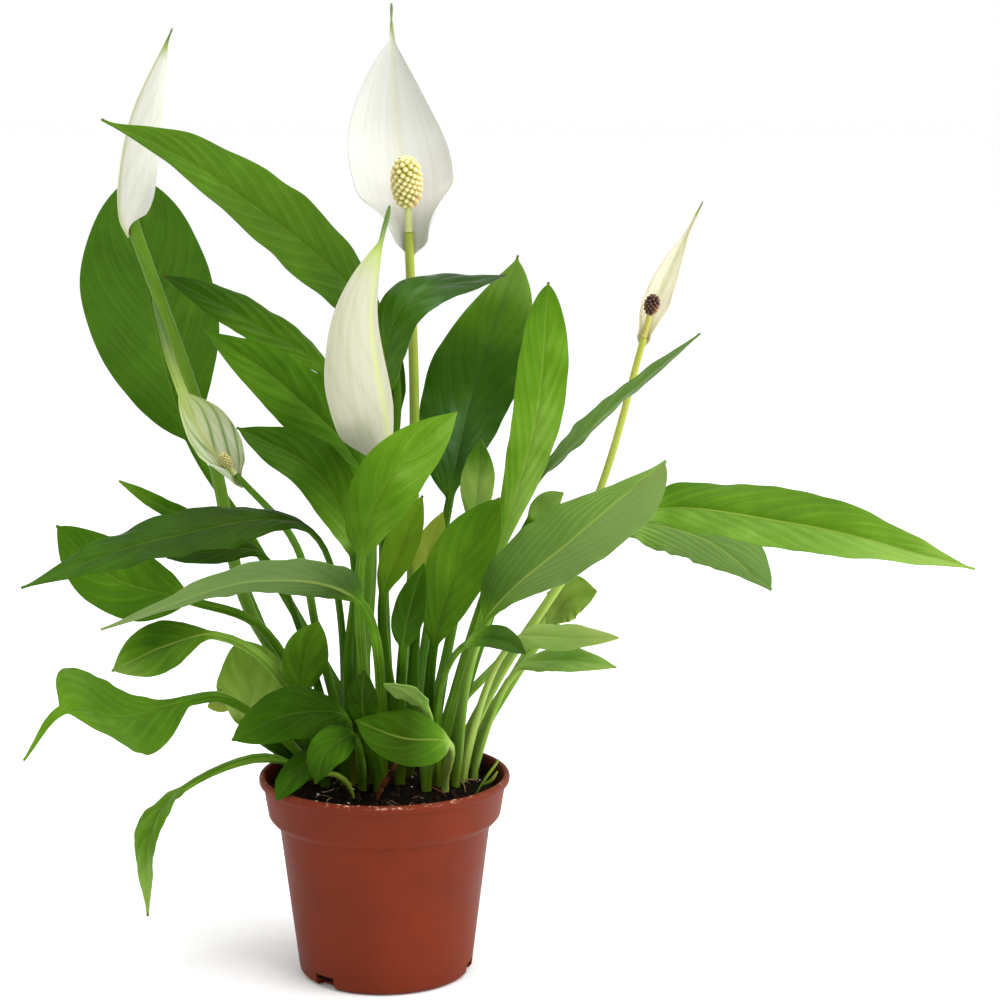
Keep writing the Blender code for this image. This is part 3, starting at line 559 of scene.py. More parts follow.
def leaf_finish(name, stops, roughness, shine, streaks, glint):
    """Waxy green leaf: tones from a ramp, streaks along the veins, a pale rib and a dead tip."""
    f = Finish(name, roughness)
    tint = f.attribute("tint")
    mark = f.attribute("marks")
    fine = f.noise(f.map(3.2, 0.9), 1.0, 4.0)
    fibre = f.noise(f.map(0.12, 16.0), 1.0, 3.0)
    blade = f.math("SUBTRACT", 1.0, mark[1])
    streak = f.plus(f.times(fine, blade), f.times(fibre, mark[1]))
    patch = f.noise(f.place(), 38.0, 3.0)
    uv = f.node("SeparateXYZ", {"Vector": f.map()}).outputs
    wave = f.math("COSINE", f.times(uv[0], 2 * math.pi))
    line = f.math("POWER", f.math("MAXIMUM", f.math("MULTIPLY_ADD", wave, 0.5, 0.5), 0.0), 10.0)
    line = f.times(line, mark[0])
    rib = f.span(f.math("ABSOLUTE", uv[1]), 0.02, 0.09, 1.0, 0.0)
    rib = f.times(f.times(rib, blade), mark[2])
    swing = f.times(f.span(streak, 0.3, 0.7, -streaks, streaks),
                    f.math("MULTIPLY_ADD", mark[1], 3.0, 1.0))
    soft = f.times(f.math("COSINE", f.times(uv[0], math.pi)), f.times(mark[0], 0.035))
    tone = f.plus(f.plus(tint[0], swing), f.plus(soft, f.span(patch, 0.3, 0.7, -0.09, 0.09)))
    colour = f.ramp(tone, stops)
    colour = f.mix(f.span(tone, 1.0, 1.7), colour, LEAF_STRAW)
    colour = f.mix(f.span(tint[1], 0.0, -1.0), colour, LEAF_GREY)
    colour = f.mix(f.span(tint[1], 0.0, 1.0), colour, LEAF_YELLOW)
    colour = f.mix(f.times(line, 0.035), colour, LEAF_VEIN)
    colour = f.mix(rib, colour, LEAF_RIB)
    f.set(Base_Color=f.mix(tint[2], colour, LEAF_DEAD))
    grain = f.noise(f.place(), 160.0, 2.0)
    f.set(Roughness=f.span(grain, 0.3, 0.7, roughness - 0.05, roughness + 0.08))
    f.set(Specular_IOR_Level=shine, Specular_Tint=(*glint, 1.0))
    f.glow(0.05, 0.002, 0.004, 0.001)
    height = f.math("MULTIPLY_ADD", line, -0.25, f.times(streak, 0.6))
    f.bump(height, 0.35, 0.0003)
    return f.material


def spathe_finish(name, base, deep, tip, veins, under):
    """Papery spathe: faint lengthwise veins, a rib, a green tip and edges that brown with age."""
    f = Finish(name, 0.5)
    tint = f.attribute("tint")
    mark = f.attribute("marks")
    streak = f.noise(f.map(9.0, 1.0), 1.0, 3.0)
    colour = f.mix(f.span(streak, 0.35, 0.7), base, deep)
    colour = f.mix(f.times(mark[0], veins), colour, SPATHE_VEIN)
    colour = f.mix(mark[1], colour, SPATHE_RIB_BACK if under else SPATHE_RIB)
    colour = f.mix(f.span(tint[0], 0.0, 0.55), colour, SPATHE_FLUSH)
    colour = f.mix(f.span(tint[0], 0.5, 1.0), colour, tip)
    f.set(Base_Color=f.mix(tint[2], colour, SPATHE_AGED))
    f.glow(0.15, 0.004, 0.004, 0.003)
    f.bump(f.noise(f.map(24.0, 2.0), 1.0, 2.0), 0.2, 0.0004)
    return f.material


def stem_finish():
    """Smooth green stem, streaked lengthwise, that turns yellow where it is told to."""
    f = Finish("flower stem", 0.42)
    tint = f.attribute("tint")
    streak = f.noise(f.map(6.0, 0.6), 1.0, 3.0)
    tone = f.plus(tint[0], f.span(streak, 0.3, 0.7, -0.12, 0.12))
    colour = f.ramp(tone, ((0.0, rgb(38, 70, 6)), (0.35, rgb(62, 104, 14)),
                           (0.7, rgb(104, 136, 36)), (1.0, rgb(150, 164, 84))))
    f.set(Base_Color=f.mix(tint[1], colour, STEM_YELLOW), Specular_IOR_Level=0.1)
    f.glow(0.08, 0.002, 0.003, 0.001)
    f.bump(f.noise(f.map(20.0, 1.0), 1.0, 2.0), 0.3, 0.0003)
    return f.material


def spadix_finish(name, low, middle, tip, stalk):
    """Matt florets with painted shade in the gaps between them, and a smooth stalk of its own
    colour.
    """
    f = Finish(name, 0.6)
    tint = f.attribute("tint")
    colour = f.ramp(tint[0], ((0.0, low), (0.55, middle), (1.0, tip)))
    patch = f.noise(f.place(), 700.0, 2.0)
    colour = f.mix(f.span(patch, 0.4, 0.8, 0.0, 0.4), colour, low)
    colour = f.mix(tint[1], colour, FLORET_BLUSH)
    f.set(Base_Color=f.mix(tint[2], colour, stalk))
    f.glow(0.1, 0.002, 0.002, 0.001)
    f.bump(patch, 0.4, 0.0003)
    return f.material


def soil_finish():
    """Damp peat in crumbs and clods, dark and dull."""
    f = Finish("damp peat", 0.9)
    crumb = f.noise(f.place(), 420.0, 6.0, 0.7)
    clod = f.noise(f.place(), 90.0, 4.0)
    colour = f.ramp(crumb, ((0.3, rgb(8, 6, 5)), (0.55, rgb(24, 17, 12)), (0.8, rgb(56, 38, 26))))
    f.set(Base_Color=f.mix(f.span(clod, 0.4, 0.7, 0.0, 0.6), colour, PEAT_CLOD))
    f.set(Specular_IOR_Level=0.04, Roughness=f.span(clod, 0.3, 0.7, 0.7, 0.95))
    f.bump(crumb, 0.9, 0.0015)
    return f.material


def plain_finish(name, dark, light, scale, roughness):
    """A small natural bit whose colour wanders between two."""
    f = Finish(name, roughness)
    patch = f.noise(f.place(), scale, 4.0)
    f.set(Base_Color=f.mix(f.span(patch, 0.35, 0.65), dark, light), Specular_IOR_Level=0.08)
    f.bump(patch, 0.5, 0.0004)
    return f.material


def pot_finish(colour):
    """Moulded terracotta plastic: faint turned lines, a worn lip and painted shade inside the rim.
    """
    f = Finish("terracotta plastic", 0.55)
    f.set(Specular_IOR_Level=0.09)
    low = tuple(0.78 * c for c in colour)
    place = f.place()
    cloud = f.noise(place, 28.0, 4.0)
    grain = f.noise(place, 900.0, 2.0)
    base = f.mix(f.span(cloud, 0.3, 0.7), low, colour)
    lines = f.noise(f.scaled(place, 1.0, 1.0, 60.0), 14.0, 3.0)
    base = f.mix(f.span(lines, 0.55, 0.8, 0.0, 0.25), base, low)
    scratch = f.noise(f.scaled(place, 1.0, 1.0, 3.0), 260.0, 5.0, 0.75)
    # first number: wear of the lip; second: painted shade on the inner wall below the rim
    wear_and_shade = f.attribute("wear_and_shade")
    worn = f.times(f.span(scratch, 0.56, 0.62), wear_and_shade[0])
    base = f.mix(worn, base, PLASTIC_WORN)
    # painted shade: the inner wall below the rim is darkened towards near black
    inner_shade_mix = f.times(wear_and_shade[1], f.span(scratch, 0.3, 0.55, 1.0, 0.75))
    f.set(Base_Color=f.mix(inner_shade_mix, base, POT_INNER_SHADE))
    f.set(Roughness=f.span(cloud, 0.3, 0.7, 0.42, 0.58))
    f.bump(grain, 0.25, 0.0003)
    return f.material


# ---------------------------------------------------------------- leaves
# How each leaf is finished: tone of its blade at the base, middle and tip (0 deep, 1 pale, above
# that straw), how grey (-1) or yellow (1) it is, and how far a brown tip reaches (share). The
# tones are partly each leaf's own colour and partly painted light and shade: inner leaves and
# blade bases are set lighter, standing in for light that passes through and between the leaves.
LEAF_LOOKS = {
    "upper_left": (0.30, 0.46, 0.54, 0.04, 0),
    "back_left": (0.46, 0.46, 0.43, -0.08, 0),
    "left_high": (0.70, 0.62, 0.15, 0, 0.02),
    "left_mid": (0.38, 0.52, 0.60, 0, 0),
    "left_fold": (0.95, 0.34, 0.32, 0, 0),
    "front_bright": (0.68, 0.62, 0.80, 0, 0.01),
    "arching": (0.66, 0.36, 0.0, 0, 0.01),
    "broad_dark": (0.22, 0.34, 0.90, 0, 0.02),
    "tall_bright": (0.80, 0.74, 0.52, 0, 0.01),
    "right_edge_on": (0.15, 0.70, 0.60, -0.5, 0),
    "right_broad": (0.40, 0.70, 0.92, -0.5, 0),
    "far_right": (0.58, 0.62, 0.86, 0.03, 0),
    "far_right_under": (0.92, 0.74, 0.62, -0.7, 0),
    "crumpled": (1.10, 1.14, 0.96, 0.12, 0),
    "right_low": (1.15, 1.10, 1.35, -0.35, 0),
    "right_lower": (0.95, 0.72, 1.00, -0.3, 0),
    "small_folded": (0.95, 0.15, 0.05, -0.1, 0),
    "saddle": (0.85, 1.10, 1.05, -0.5, 0),
    "front_round": (0.75, 0.05, 0.34, 0.02, 0),
    "front_left": (0.10, 0.16, 0.50, 0, 0),
    "front_tip_down": (0.30, 0.50, 0.20, 0, 0),
    "over_rim": (0.30, 0.30, 0.25, 0, 0),
    "low_left": (0.60, 0.66, 0.80, 0, 0),
    "drooping": (0.80, 0.74, 1.10, 0.0, 0.04),
    "left_lower": (0.66, 0.58, 1.0, -0.1, 0),
    "grey_underside": (0.05, 0.58, 1.40, -0.9, 0),
    "dark_left": (0.0, 0.12, 0.38, -0.05, 0),
    "left_behind": (0.46, 0.54, 0.46, 0, 0),
    "left_far": (0.40, 0.40, 0.80, 0, 0),
    "left_shadow": (0.15, 0.10, 0.10, 0, 0),
    "pale_young": (1.15, 0.96, 0.84, 0.10, 0),
    "left_inner": (0.60, 0.60, 0.76, 0, 0),
    "yellowing": (1.15, 1.20, 1.10, 0.4, 0),
    "front_dark": (0.25, 0.12, 0.16, 0, 0),
    "inner_olive": (0.65, 0.74, 0.70, 0.1, 0.03),
    "inner_bright": (0.62, 0.70, 0.60, 0, 0),
    "inner_yellow": (0.95, 1.10, 1.05, 0.45, 0),
    "inner_glossy": (0.95, 1.20, 0.60, 0, 0),
    "inner_right": (1.0, 0.9, 1.1, -0.3, 0),
    "inner_back": (0.40, 0.25, 0.25, 0, 0),
    "small_dark": (0.30, 0.0, 0.0, 0, 0),
}
SHINY_LEAVES = ("broad_dark", "arching", "inner_glossy")
UNDERSIDE_GREY = (0.14, 0.18, 0.07)   # linear colour mixed into every tone of the undersides
# Stalks that differ from the rest: tone above the soil and under the blade. A dark tone above the
# soil is painted shade among the crowded stalk bases.
STALKS = {
    "right_low": (1.35, 1.25), "right_lower": (1.25, 1.15), "crumpled": (1.0, 1.0),
    "far_right": (1.1, 1.15), "right_broad": (0.9, 0.9), "front_round": (1.1, 1.25),
    "tall_bright": (0.6, 0.8), "far_right_under": (0.5, 0.95), "small_folded": (0.6, 0.7),
    "saddle": (0.6, 1.0), "grey_underside": (0.35, 0.70), "left_lower": (0.4, 1.0),
    "low_left": (0.7, 0.7), "drooping": (0.8, 0.8), "front_left": (0.5, 0.6),
    "front_bright": (0.3, 0.75),
}
# the rest start dark above the soil: painted shade among the stalk bases
PLAIN_STALK = (0.22, 0.58)            # the rest; the second wanders from leaf to leaf
# Leaves whose veins differ: how far they lean forward, how pale they are, how pale the rib is.
VEINS = {
    "far_right": (2.1, 1.0, 0.9), "right_broad": (4.6, 2.4, 0.6), "left_lower": (2.1, 1.2, 0.6),
    "far_right_under": (4.0, 4.0, 0.5), "grey_underside": (2.8, 0.6, 0.4),
    "tall_bright": (3.4, 1.0, 0.3), "front_round": (2.4, 0.8, 0.4), "left_fold": (3.4, 1.0, 0.2),
    "broad_dark": (2.4, 0.5, 0.05), "left_high": (3.0, 1.6, 0.1), "right_low": (2.1, 1.0, 0.4),
    "inner_bright": (3.0, 0.6, 0.1), "dark_left": (2.4, 0.4, 0.1), "front_left": (2.4, 0.6, 0.1),
    "front_bright": (2.4, 0.3, 0.1),
}
PLAIN_VEINS = (2.1, 1.0, 0.12)
# How much more crinkled than the rest these leaves are.
CRINKLES = {"crumpled": 3.5, "far_right_under": 2.5, "right_broad": 2.2, "pale_young": 3.5,
            "low_left": 1.2}
# Leaves whose halves differ: how much paler and how much yellower the right half is. This is
# painted light and shade on the two sides of a folded blade; on right_broad it is also the
# blade's own two tones.
HALVES = {
    "right_broad": (0.30, -0.30), "left_lower": (-0.12, 0.10), "far_right": (0.20, -0.15),
    "right_lower": (0.15, -0.10), "front_bright": (0.10, 0.0), "tall_bright": (0.12, 0.0),
}
VEIN_GAP = 8.0          # between side veins along the rib
CELL = 1.3              # length of a mesh cell along a blade
STALK_CELL = 7.0        # and along a stalk
CELLS_ACROSS = ((32, 34), (20, 26), (0, 18))    # for blades wider than the first number
FOOT_HALF = 2.2         # half width of a leaf stalk in the soil
SHEATH_HALF = 4.0       # half width of the sheath above the soil
SHEATH_AT = 26.0        # height of the sheath's widest place above the stalk's foot
STALK_HALF = 2.1        # half width of a leaf stalk under its blade
STALK_CORE = (1.6, 1.1) # half thickness of a stalk at its foot and under the blade
DRIP = 0.8              # half width where a leaf's drip tip starts
CAUDATE = 2.4           # the same for a tip that is drawn out into a tail
RIPPLES = 2.3           # waves along a margin
RUFFLES = 6.1           # smaller waves on top of them
FRILLS = 11.3           # and smaller still
UNEVEN = 4.6            # lumps of a blade and its outline, in waves over 2 pi widths
UNEVEN_FINE = 10.0      # smaller lumps of its outline
CURLS = 6.9             # curls of its outermost margin


def leaf(row, look, skin, vein_depth, upper, under):
    """One leaf: a flat grid bent along its stalk and blade, veined, then thickened."""
    (name, foot, mid_stalk, base, middle, tip, width, wide_at, skew, point, body, face, fold,
     edge, wave, colour) = row
    stalk_points = [(*foot, STALK_LOW), (*foot, SOIL_TOP + STALK_CLEAR)]
    if mid_stalk:
        stalk_points.append(mid_stalk)
    middles = [middle] if np.ndim(middle) == 1 else list(middle)
    path, scale = opened(spline(stalk_points + [base, *middles, tip]))
    length = lengths(path)
    base_at = len(stalk_points) * STEPS
    start = length[base_at]
    blade = length[-1] - start

    stalk_rows = int(start / STALK_CELL)
    blade_rows = int(blade / CELL)
    across = next(cells for over, cells in CELLS_ACROSS if width > over)
    piece, s, v = grid("lily_leaf_" + name, across, stalk_rows + blade_rows)
    row_at = np.rint(v * (stalk_rows + blade_rows)).astype(int)
    stations = np.concatenate([np.linspace(0, start, stalk_rows, endpoint=False),
                               np.linspace(start, length[-1], blade_rows + 1)])
    at = stations[row_at]
    t = np.clip((at - start) / blade, 0, 1)
    up = np.clip(at / start, 0, 1)
    line, n, b = sampled(at, path, *frames(path, base_at + STEPS, face))

    sheath_end = min(2.6 * SHEATH_AT, 0.8 * start)
    clasp = np.interp(at, [0, 9, SHEATH_AT, sheath_end, start],
                      [FOOT_HALF, FOOT_HALF, SHEATH_HALF, 1.2 * STALK_HALF, STALK_HALF])
    clasp = clasp * np.where(t > 0, 1 - 0.75 * t, 1)
    tailed = body < 0.9
    ends = body if tailed else 0.3 * body + 0.7
    grown = blade_shape(t / ends, wide_at - skew * np.sign(s), point)
    seed = 7.3 * foot[0] + 3.1 * foot[1]
    crinkle = CRINKLES.get(name, 1.0)
    uneven = (np.sin(UNEVEN * at / width + seed + 2.4 * (s > 0))
              + 0.5 * np.sin(UNEVEN_FINE * at / width + 2 * seed))
    grown = grown * (1 + 0.015 * crinkle * uneven * smooth(t * 5) * smooth((1 - t) * 5))
    grown = grown * width / 2 * np.interp(at, length, scale)
    drip = (CAUDATE if tailed else DRIP) * np.clip((1 - t) / (1 - body), 0, 1) ** 0.8
    half = (clasp ** 3 + grown ** 3 + drip ** 3) ** (1 / 3)
    core = np.interp(up, [0, 1], STALK_CORE) * np.where(t > 0, (1 - t) ** 3, 1)
    open_up = np.clip(t * 8, 0, 1)
    out, rise = section(s, half, math.radians(fold) * open_up, math.radians(edge) * open_up)
    far = np.abs(s)
    rise = rise + margin_waves(wave * open_up * (1 - t), t, s, RIPPLES, 0, 2.0, 2)
    edge_wave = crinkle * wave * open_up * (1 - t)
    rise = rise + margin_waves(0.4 * edge_wave, t, s, RUFFLES, seed, 1.7, 4)
    rise = rise + margin_waves(0.25 * edge_wave, t, s, FRILLS, 2 * seed, 2.9, 6)

    lean, pale, rib = VEINS.get(name, PLAIN_VEINS)
    phase = (at - start - lean * width / 2 * far ** 1.3) / VEIN_GAP
    broad = smooth((half - 3) / 6) * smooth(t * 10) * smooth((1 - t) * 6)
    pillow = np.cos(np.pi * phase + 0.8 * np.sin(seed + 3.0 * s))
    rise = rise + vein_depth * broad * pillow * smooth(far * 3) * (1 - far ** 4)
    rise = rise - 3.0 * vein_depth * broad * np.exp(-(out / 1.5) ** 2)
    swell = np.sin(UNEVEN * at / width + seed + 1.9 * s) * np.cos(2.3 * s + 0.7 * seed)
    rise = rise + 0.014 * width * broad * swell * smooth(far * 2)
    curl = np.sin(CURLS * at / width + seed + 2.6 * (s > 0))
    rise = rise + 0.4 * wave * broad * curl * far ** 4
    put_points(piece, line + out[:, None] * b + rise[:, None] * n)

    *tones, age, brown = look
    plain = (PLAIN_STALK[0], PLAIN_STALK[1] + 0.16 * np.sin(seed))
    low, high = STALKS.get(name, plain)
    paler, yellower = HALVES.get(name, (0, 0))
    # painted light and shade: the right half of a folded blade is made paler or darker
    right_half = np.clip(0.5 + 4 * s, 0, 1) * smooth(t * 6)
    tone = np.interp(t, [0, 0.12, 0.5, 0.9], [high, *tones]) + paler * right_half
    # a stalk runs from its low tone above the soil to its high one under the blade; a low start is
    # painted shade
    tone = np.where(t > 0, tone, low + (high - low) * smooth(up * 2.2))
    ageing = age * smooth(t * 2.5) + yellower * right_half + 0.3 * (1 - smooth(up * 3.0))
    dead = smooth((t - 1 + brown) / brown) if brown else 0
    add_colours(piece, "tint", tone, ageing, dead)
    veined = pale * broad * smooth(far * 4) * (1 - far ** 6)
    add_colours(piece, "marks", veined, 1 - smooth(t * 12), rib * (1 - t) ** 0.5)
    set_map(piece, phase, out / 10)
    bare = np.sqrt(np.clip(1 - s ** 2, 0, 1))
    thickness = 2 * core * bare + skin * (1 - 0.35 * broad * far ** 4)
    thicken(piece, thickness)
    round_edges(piece)
    return settle(piece, ["leaf_" + name], colour, upper, under)


# ---------------------------------------------------------------- flowers
# How each spathe is finished: length of the green tip (share), green of the rib, depth of its
# veins' colour, twist of its tail (degrees), browning of its margin, half width of its tail and
# how much further down the stem it reaches (mm).
HoodLook = namedtuple("HoodLook", "green rib veins twist brown tail lower")
HOOD_LOOKS = {
    "flower_main": HoodLook(.09, .30, .0, 170, 0, 1.3, 10),
    "flower_left": HoodLook(.10, 1.0, .1, 60, 0, 1.0, 0),
    "flower_closed": HoodLook(.20, 1.0, .12, 60, 0, 1.6, 4),
    "flower_fading": HoodLook(.09, .5, .15, 90, .25, .8, 0),
    "flower_young": HoodLook(.50, 1.0, 1.0, 40, 0, 3.4, 0),
}
# Stems that differ from the rest: tone, and how yellow they are under the flower.
STEM_LOOKS = {"flower_main": (0.72, 0.5), "flower_fading": (0.8, 0.7), "flower_left": (0.5, 0.0)}
PLAIN_STEM = (0.4, 0.0)
STEM_RINGS = 48
GAP = 0.3               # between pieces that lie against each other
CLASP = 115.0           # how far round its stem a spathe clasps each way, degrees
CLASP_LOW = 7.0         # how far below the stem's top it starts
CLASP_PLAY = 0.80       # from the stem to the middle of its thickness, beside the gap
CLASP_END = 5.0         # length of it that stays wrapped round
CLASP_OPEN = 22.0       # length over which it opens
CURL_R = 1.1            # tightest curl across a spathe
HOOD_CELLS = (40, 90)   # mesh cells of a spathe, across and along
HOOD_THICK = 0.6
HOOD_RUFFLES = 5.3      # smaller waves along a spathe's margin
NECK = 2.5              # straight start of the bare stalk under a spadix
GOLDEN_TURN = 2.399963  # from one floret to the next, radians
CORE_SHARE = 0.86       # radius of the core that the florets sit on, as a share of the club's
FLORET_FILL = 0.56      # radius of a floret as a share of the room it has


def stem_path(row):
    """The stem's curve, the way it runs at its top, and the side on which its spathe opens."""
    path = opened(spline([(*row.foot, STALK_LOW), (*row.foot, SOIL_TOP + STALK_CLEAR),
                          *row.points, row.top]))[0]
    upward = unit(path[-1] - path[-6])
    face = np.asarray(row.face, float)
    return path, upward, unit(face - (face @ upward) * upward)


def stem(row, finish):
    """A tapered round stem, yellower towards its flower."""
    path = stem_path(row)[0]
    pick = np.linspace(0, len(path) - 1, STEM_RINGS).round().astype(int)
    along = np.linspace(0, 1, STEM_RINGS)
    radius = np.interp(along, [0, 0.3, 1], [row.radius_low, row.radius_low, row.radius_top])
    piece, v, turn = rod("lily_" + row.name + "_stem", path[pick], radius, 18)
    tone, yellow = STEM_LOOKS.get(row.name, PLAIN_STEM)
    tone = tone * np.interp(v, [0, 0.3, 1], [0.7, 0.9, 1.1])
    yellow = yellow * smooth((v - 0.55) * 2.2)
    add_colours(piece, "tint", tone, yellow, 0)
    set_map(piece, turn, v * 30)
    round_edges(piece)
    return settle(piece, [row.name + "_stem"], "stem", finish)


def spathe(row, look, upper, under):
    """The hood behind the spadix: it clasps the stem, opens, and ends in a twisted green tail."""
    path, upward, face = stem_path(row)
    clasp_r = row.radius_top + GAP + CLASP_PLAY
    low = path[-1] - (CLASP_LOW + look.lower) * upward - clasp_r * face
    mouth = path[-1] + 3 * upward - (clasp_r + 0.6) * face
    (middle, tip), scale = opened(np.array([row.middle, row.tip], float))
    curve = spline([low, mouth, middle, tip])
    length = lengths(curve)[-1]
    piece, s, t = grid("lily_" + row.name + "_spathe", *HOOD_CELLS)
    at = t * length
    clasp = math.radians(CLASP)
    open_up = smooth((at - look.lower - CLASP_END) / CLASP_OPEN)
    share = np.clip((at - 2) / (row.body * length - 2), 0, 1)
    grown = blade_shape(share, row.wide_at - row.skew * s, 1.7) * row.width / 2 * scale[0]
    tail = look.tail * np.clip((1 - t) / (1 - row.body), 0, 1) ** 0.6
    half = np.maximum(grown, clasp_r * clasp * (1 - open_up)) + tail + 0.3
    start = 0.08 + 0.92 * smooth(at / (10 + look.lower))
    half = half * start
    edge = (clasp + (math.radians(row.cup) - clasp) * open_up) * start
    out, rise = section(s, half, 0 * s, np.minimum(edge, half / CURL_R))
    far = np.abs(s)
    ripple = row.wave * open_up * (1 - t)
    rise = rise + margin_waves(ripple, t, s, RIPPLES, 0, 2.0, 2)
    rise = rise + margin_waves(0.5 * ripple, t, s, HOOD_RUFFLES, 0, 1.0, 4)
    rise = rise - 0.5 * open_up * (1 - t) * np.exp(-(out / 1.6) ** 2)
    rise = rise + 0.07 * open_up * (1 - t) * np.cos(far * 40)
    line, n, b = sampled(at, curve, *frames(curve, STEPS // 2, face))
    twist = math.radians(look.twist) * smooth((t - row.body) / (1.02 - row.body))
    turned_b = np.cos(twist)[:, None] * b + np.sin(twist)[:, None] * n
    turned_n = np.cos(twist)[:, None] * n - np.sin(twist)[:, None] * b
    put_points(piece, line + out[:, None] * turned_b + rise[:, None] * turned_n)
    green = smooth((t - 1 + look.green * 1.6) / (look.green * 1.4))
    brown = look.brown * (smooth((far - 0.75) * 4) * smooth(t * 3))
    add_colours(piece, "tint", green, 0, brown)
    rib = look.rib * np.exp(-(out / (2.4 - 1.4 * t)) ** 2)
    veins = 5 * (t - 0.5 * far ** 1.3)
    vein = (0.5 + 0.5 * np.cos(2 * np.pi * veins)) ** 6
    add_colours(piece, "marks", vein, rib, 0)
    set_map(piece, s, t)
    thicken(piece, np.full(len(s), HOOD_THICK))
    round_edges(piece)
    return settle(piece, [row.name + "_spathe"], row.hood, upper, under)


def spadix(row, florets, finish):
    """A bare stalk, and a club packed with florets along a spiral."""
    path, upward, face = stem_path(row)
    radius, tall, bare = row.radius, row.tall, row.bare
    out = unit(upward + row.lean * face)
    start = path[-1] + GAP * upward
    neck = start + NECK * upward
    club = neck + (bare - NECK) * out
    line = spline([start, neck, club, club + 0.5 * tall * out, club + 0.9 * tall * out])
    radii = np.interp(lengths(line), [0, bare, bare + 3],
                      [row.radius_top * 0.9, row.radius_top * 0.8, radius * 0.5])
    stalk = rod("stalk", line[::4], radii[::4])[0]
    add_colours(stalk, "tint", 0.05, 0, 1)
    side = unit(np.cross(out, (0.3, -1.0, 0.2)))
    ahead = np.cross(side, out)
    deselect()
    bpy.ops.mesh.primitive_uv_sphere_add(segments=24, ring_count=16, radius=1.0)
    core = new_piece("core")
    ball = points_of(core)
    core_r = radius * CORE_SHARE
    put_points(core, club + np.outer((0.04 + 0.94 * (ball[:, 2] + 1) / 2) * tall, out)
               + core_r * (np.outer(ball[:, 0], side) + np.outer(ball[:, 1], ahead)))
    # the core shows only between the florets; its low colour is painted shade
    add_colours(core, "tint", 0.1, 0, 0)
    parts = [stalk, core]
    size = math.sqrt(2 * math.pi * radius * tall / florets) * FLORET_FILL
    for i in range(florets):
        u = (i + 0.5) / florets
        swell = math.sqrt(max(1 - abs(2 * u - 1) ** 3, 0.02))
        turn = i * GOLDEN_TURN
        spoke = math.cos(turn) * side + math.sin(turn) * ahead
        spoke = unit(spoke * swell + out * (2 * u - 1) ** 3 * 0.9)
        centre = club + out * (0.10 + 0.82 * u) * tall + spoke * core_r * swell
        deselect()
        bpy.ops.mesh.primitive_ico_sphere_add(subdivisions=2, radius=1.0)
        bead = new_piece("floret")
        ball = points_of(bead)
        high = ball[:, 2]
        across = unit(np.cross(spoke, out + 0.01))
        over = np.cross(across, spoke)
        lift = np.where(high > 0.5, high + 0.7 * (high - 0.5), high)
        put_points(bead, centre + size * (np.outer(lift, spoke) + np.outer(ball[:, 0], across)
                                          + np.outer(ball[:, 1], over)))
        blush = max(0.9 - 1.3 * u, 0) * max(float(spoke @ side), 0)
        # each floret runs from the low colour at its foot to the tip colour at its crown: painted
        # shade in the gaps
        add_colours(bead, "tint", np.clip(high, 0, 1) ** 3, blush, 0)
        parts.append(bead)
    piece = join("lily_" + row.name + "_spadix", parts)
    round_edges(piece, 80)
    return settle(piece, [row.name + "_spadix"], row.club, finish)


# ---------------------------------------------------------------- soil
SOIL_R = 56.0           # radius of the soil's top
SOIL_CELLS = 110        # mesh cells across it
SOIL_BELOW = ((48.4, 72.5), (39.6, 2.9))    # radius and height of its lower rings
HOLLOWS = 1.6           # relief of its wide hollows
CRUMBLE = 1.1           # and of its fine lumps
CRUMBS_R = 52.0         # how far out the loose crumbs lie
BITS_R = 51.0           # and the grains and fibres
FIBRE_POINTS = 5
FIBRE_LENGTH = (5, 16)  # least and most, as are the next two
FIBRE_ARCH = (0.5, 3.5)
FIBRE_R = (0.14, 0.34)
# Small things at the foot of the plant: name, points (mm), radius and slot.
LITTER = (
    ("dead_sheath", ((-3, -17, 88), (-1, -17, 94), (4, -19, 102), (7, -21, 109)), 1.3, "soil"),
    ("dry_base", ((30, -10, 87), (27, -13, 91), (22, -15, 94)), 0.5, "soil"),
    ("seedling", ((44, -6, 88), (48, -7, 95), (53, -6, 102), (55, -6, 105)), 0.7, "stem"),
    ("seedling_leaf", ((47, -9, 93), (51, -12, 96), (54, -14, 101)), 0.9, "stem"),
    ("young_stalk", ((-14, -14, 88), (-17, -16, 96), (-24, -18, 101), (-33, -18, 99)), 1.4, "stem"),
)


def soil_top(x, y):
    """Height of the soil above its level, mm."""
    big = noise.noise(Vector((x * 0.045, y * 0.045, 3.1)))
    fine = noise.fractal(Vector((x * 0.22, y * 0.22, 7.7)), 0.8, 2.1, 4)
    return HOLLOWS * big + CRUMBLE * fine


def soil_body(finish):
    """The peat: a lumpy round top, drawn down inside the pot and closed below."""
    piece, s, v = grid("lily_soil", SOIL_CELLS, SOIL_CELLS)
    x, y = s, v * 2 - 1
    reach = np.maximum(np.abs(x), np.abs(y))
    ring = np.hypot(x, y) + 1e-9
    x, y = x / ring * reach * SOIL_R, y / ring * reach * SOIL_R
    calm = smooth((1 - reach) * 14)
    z = np.array([soil_top(a, b) for a, b in zip(x, y)]) * calm - 1.2 * (1 - calm)
    put_points(piece, np.column_stack([x, y, SOIL_TOP + z]))
    open_mesh(piece)
    bpy.ops.mesh.region_to_loop()
    for radius, low in SOIL_BELOW:
        bpy.ops.mesh.extrude_region_move()
        bpy.ops.object.mode_set(mode="OBJECT")
        points = points_of(piece) / MM
        picked = np.array([vert.select for vert in piece.data.vertices])
        ring = np.hypot(points[:, 0], points[:, 1])
        points[picked, :2] *= (radius / ring[picked])[:, None]
        points[picked, 2] = low
        put_points(piece, points)
        bpy.ops.object.mode_set(mode="EDIT")
    bpy.ops.mesh.edge_face_add()
    close_mesh()
    round_edges(piece, 60)
    return settle(piece, ["soil"], "soil", finish)


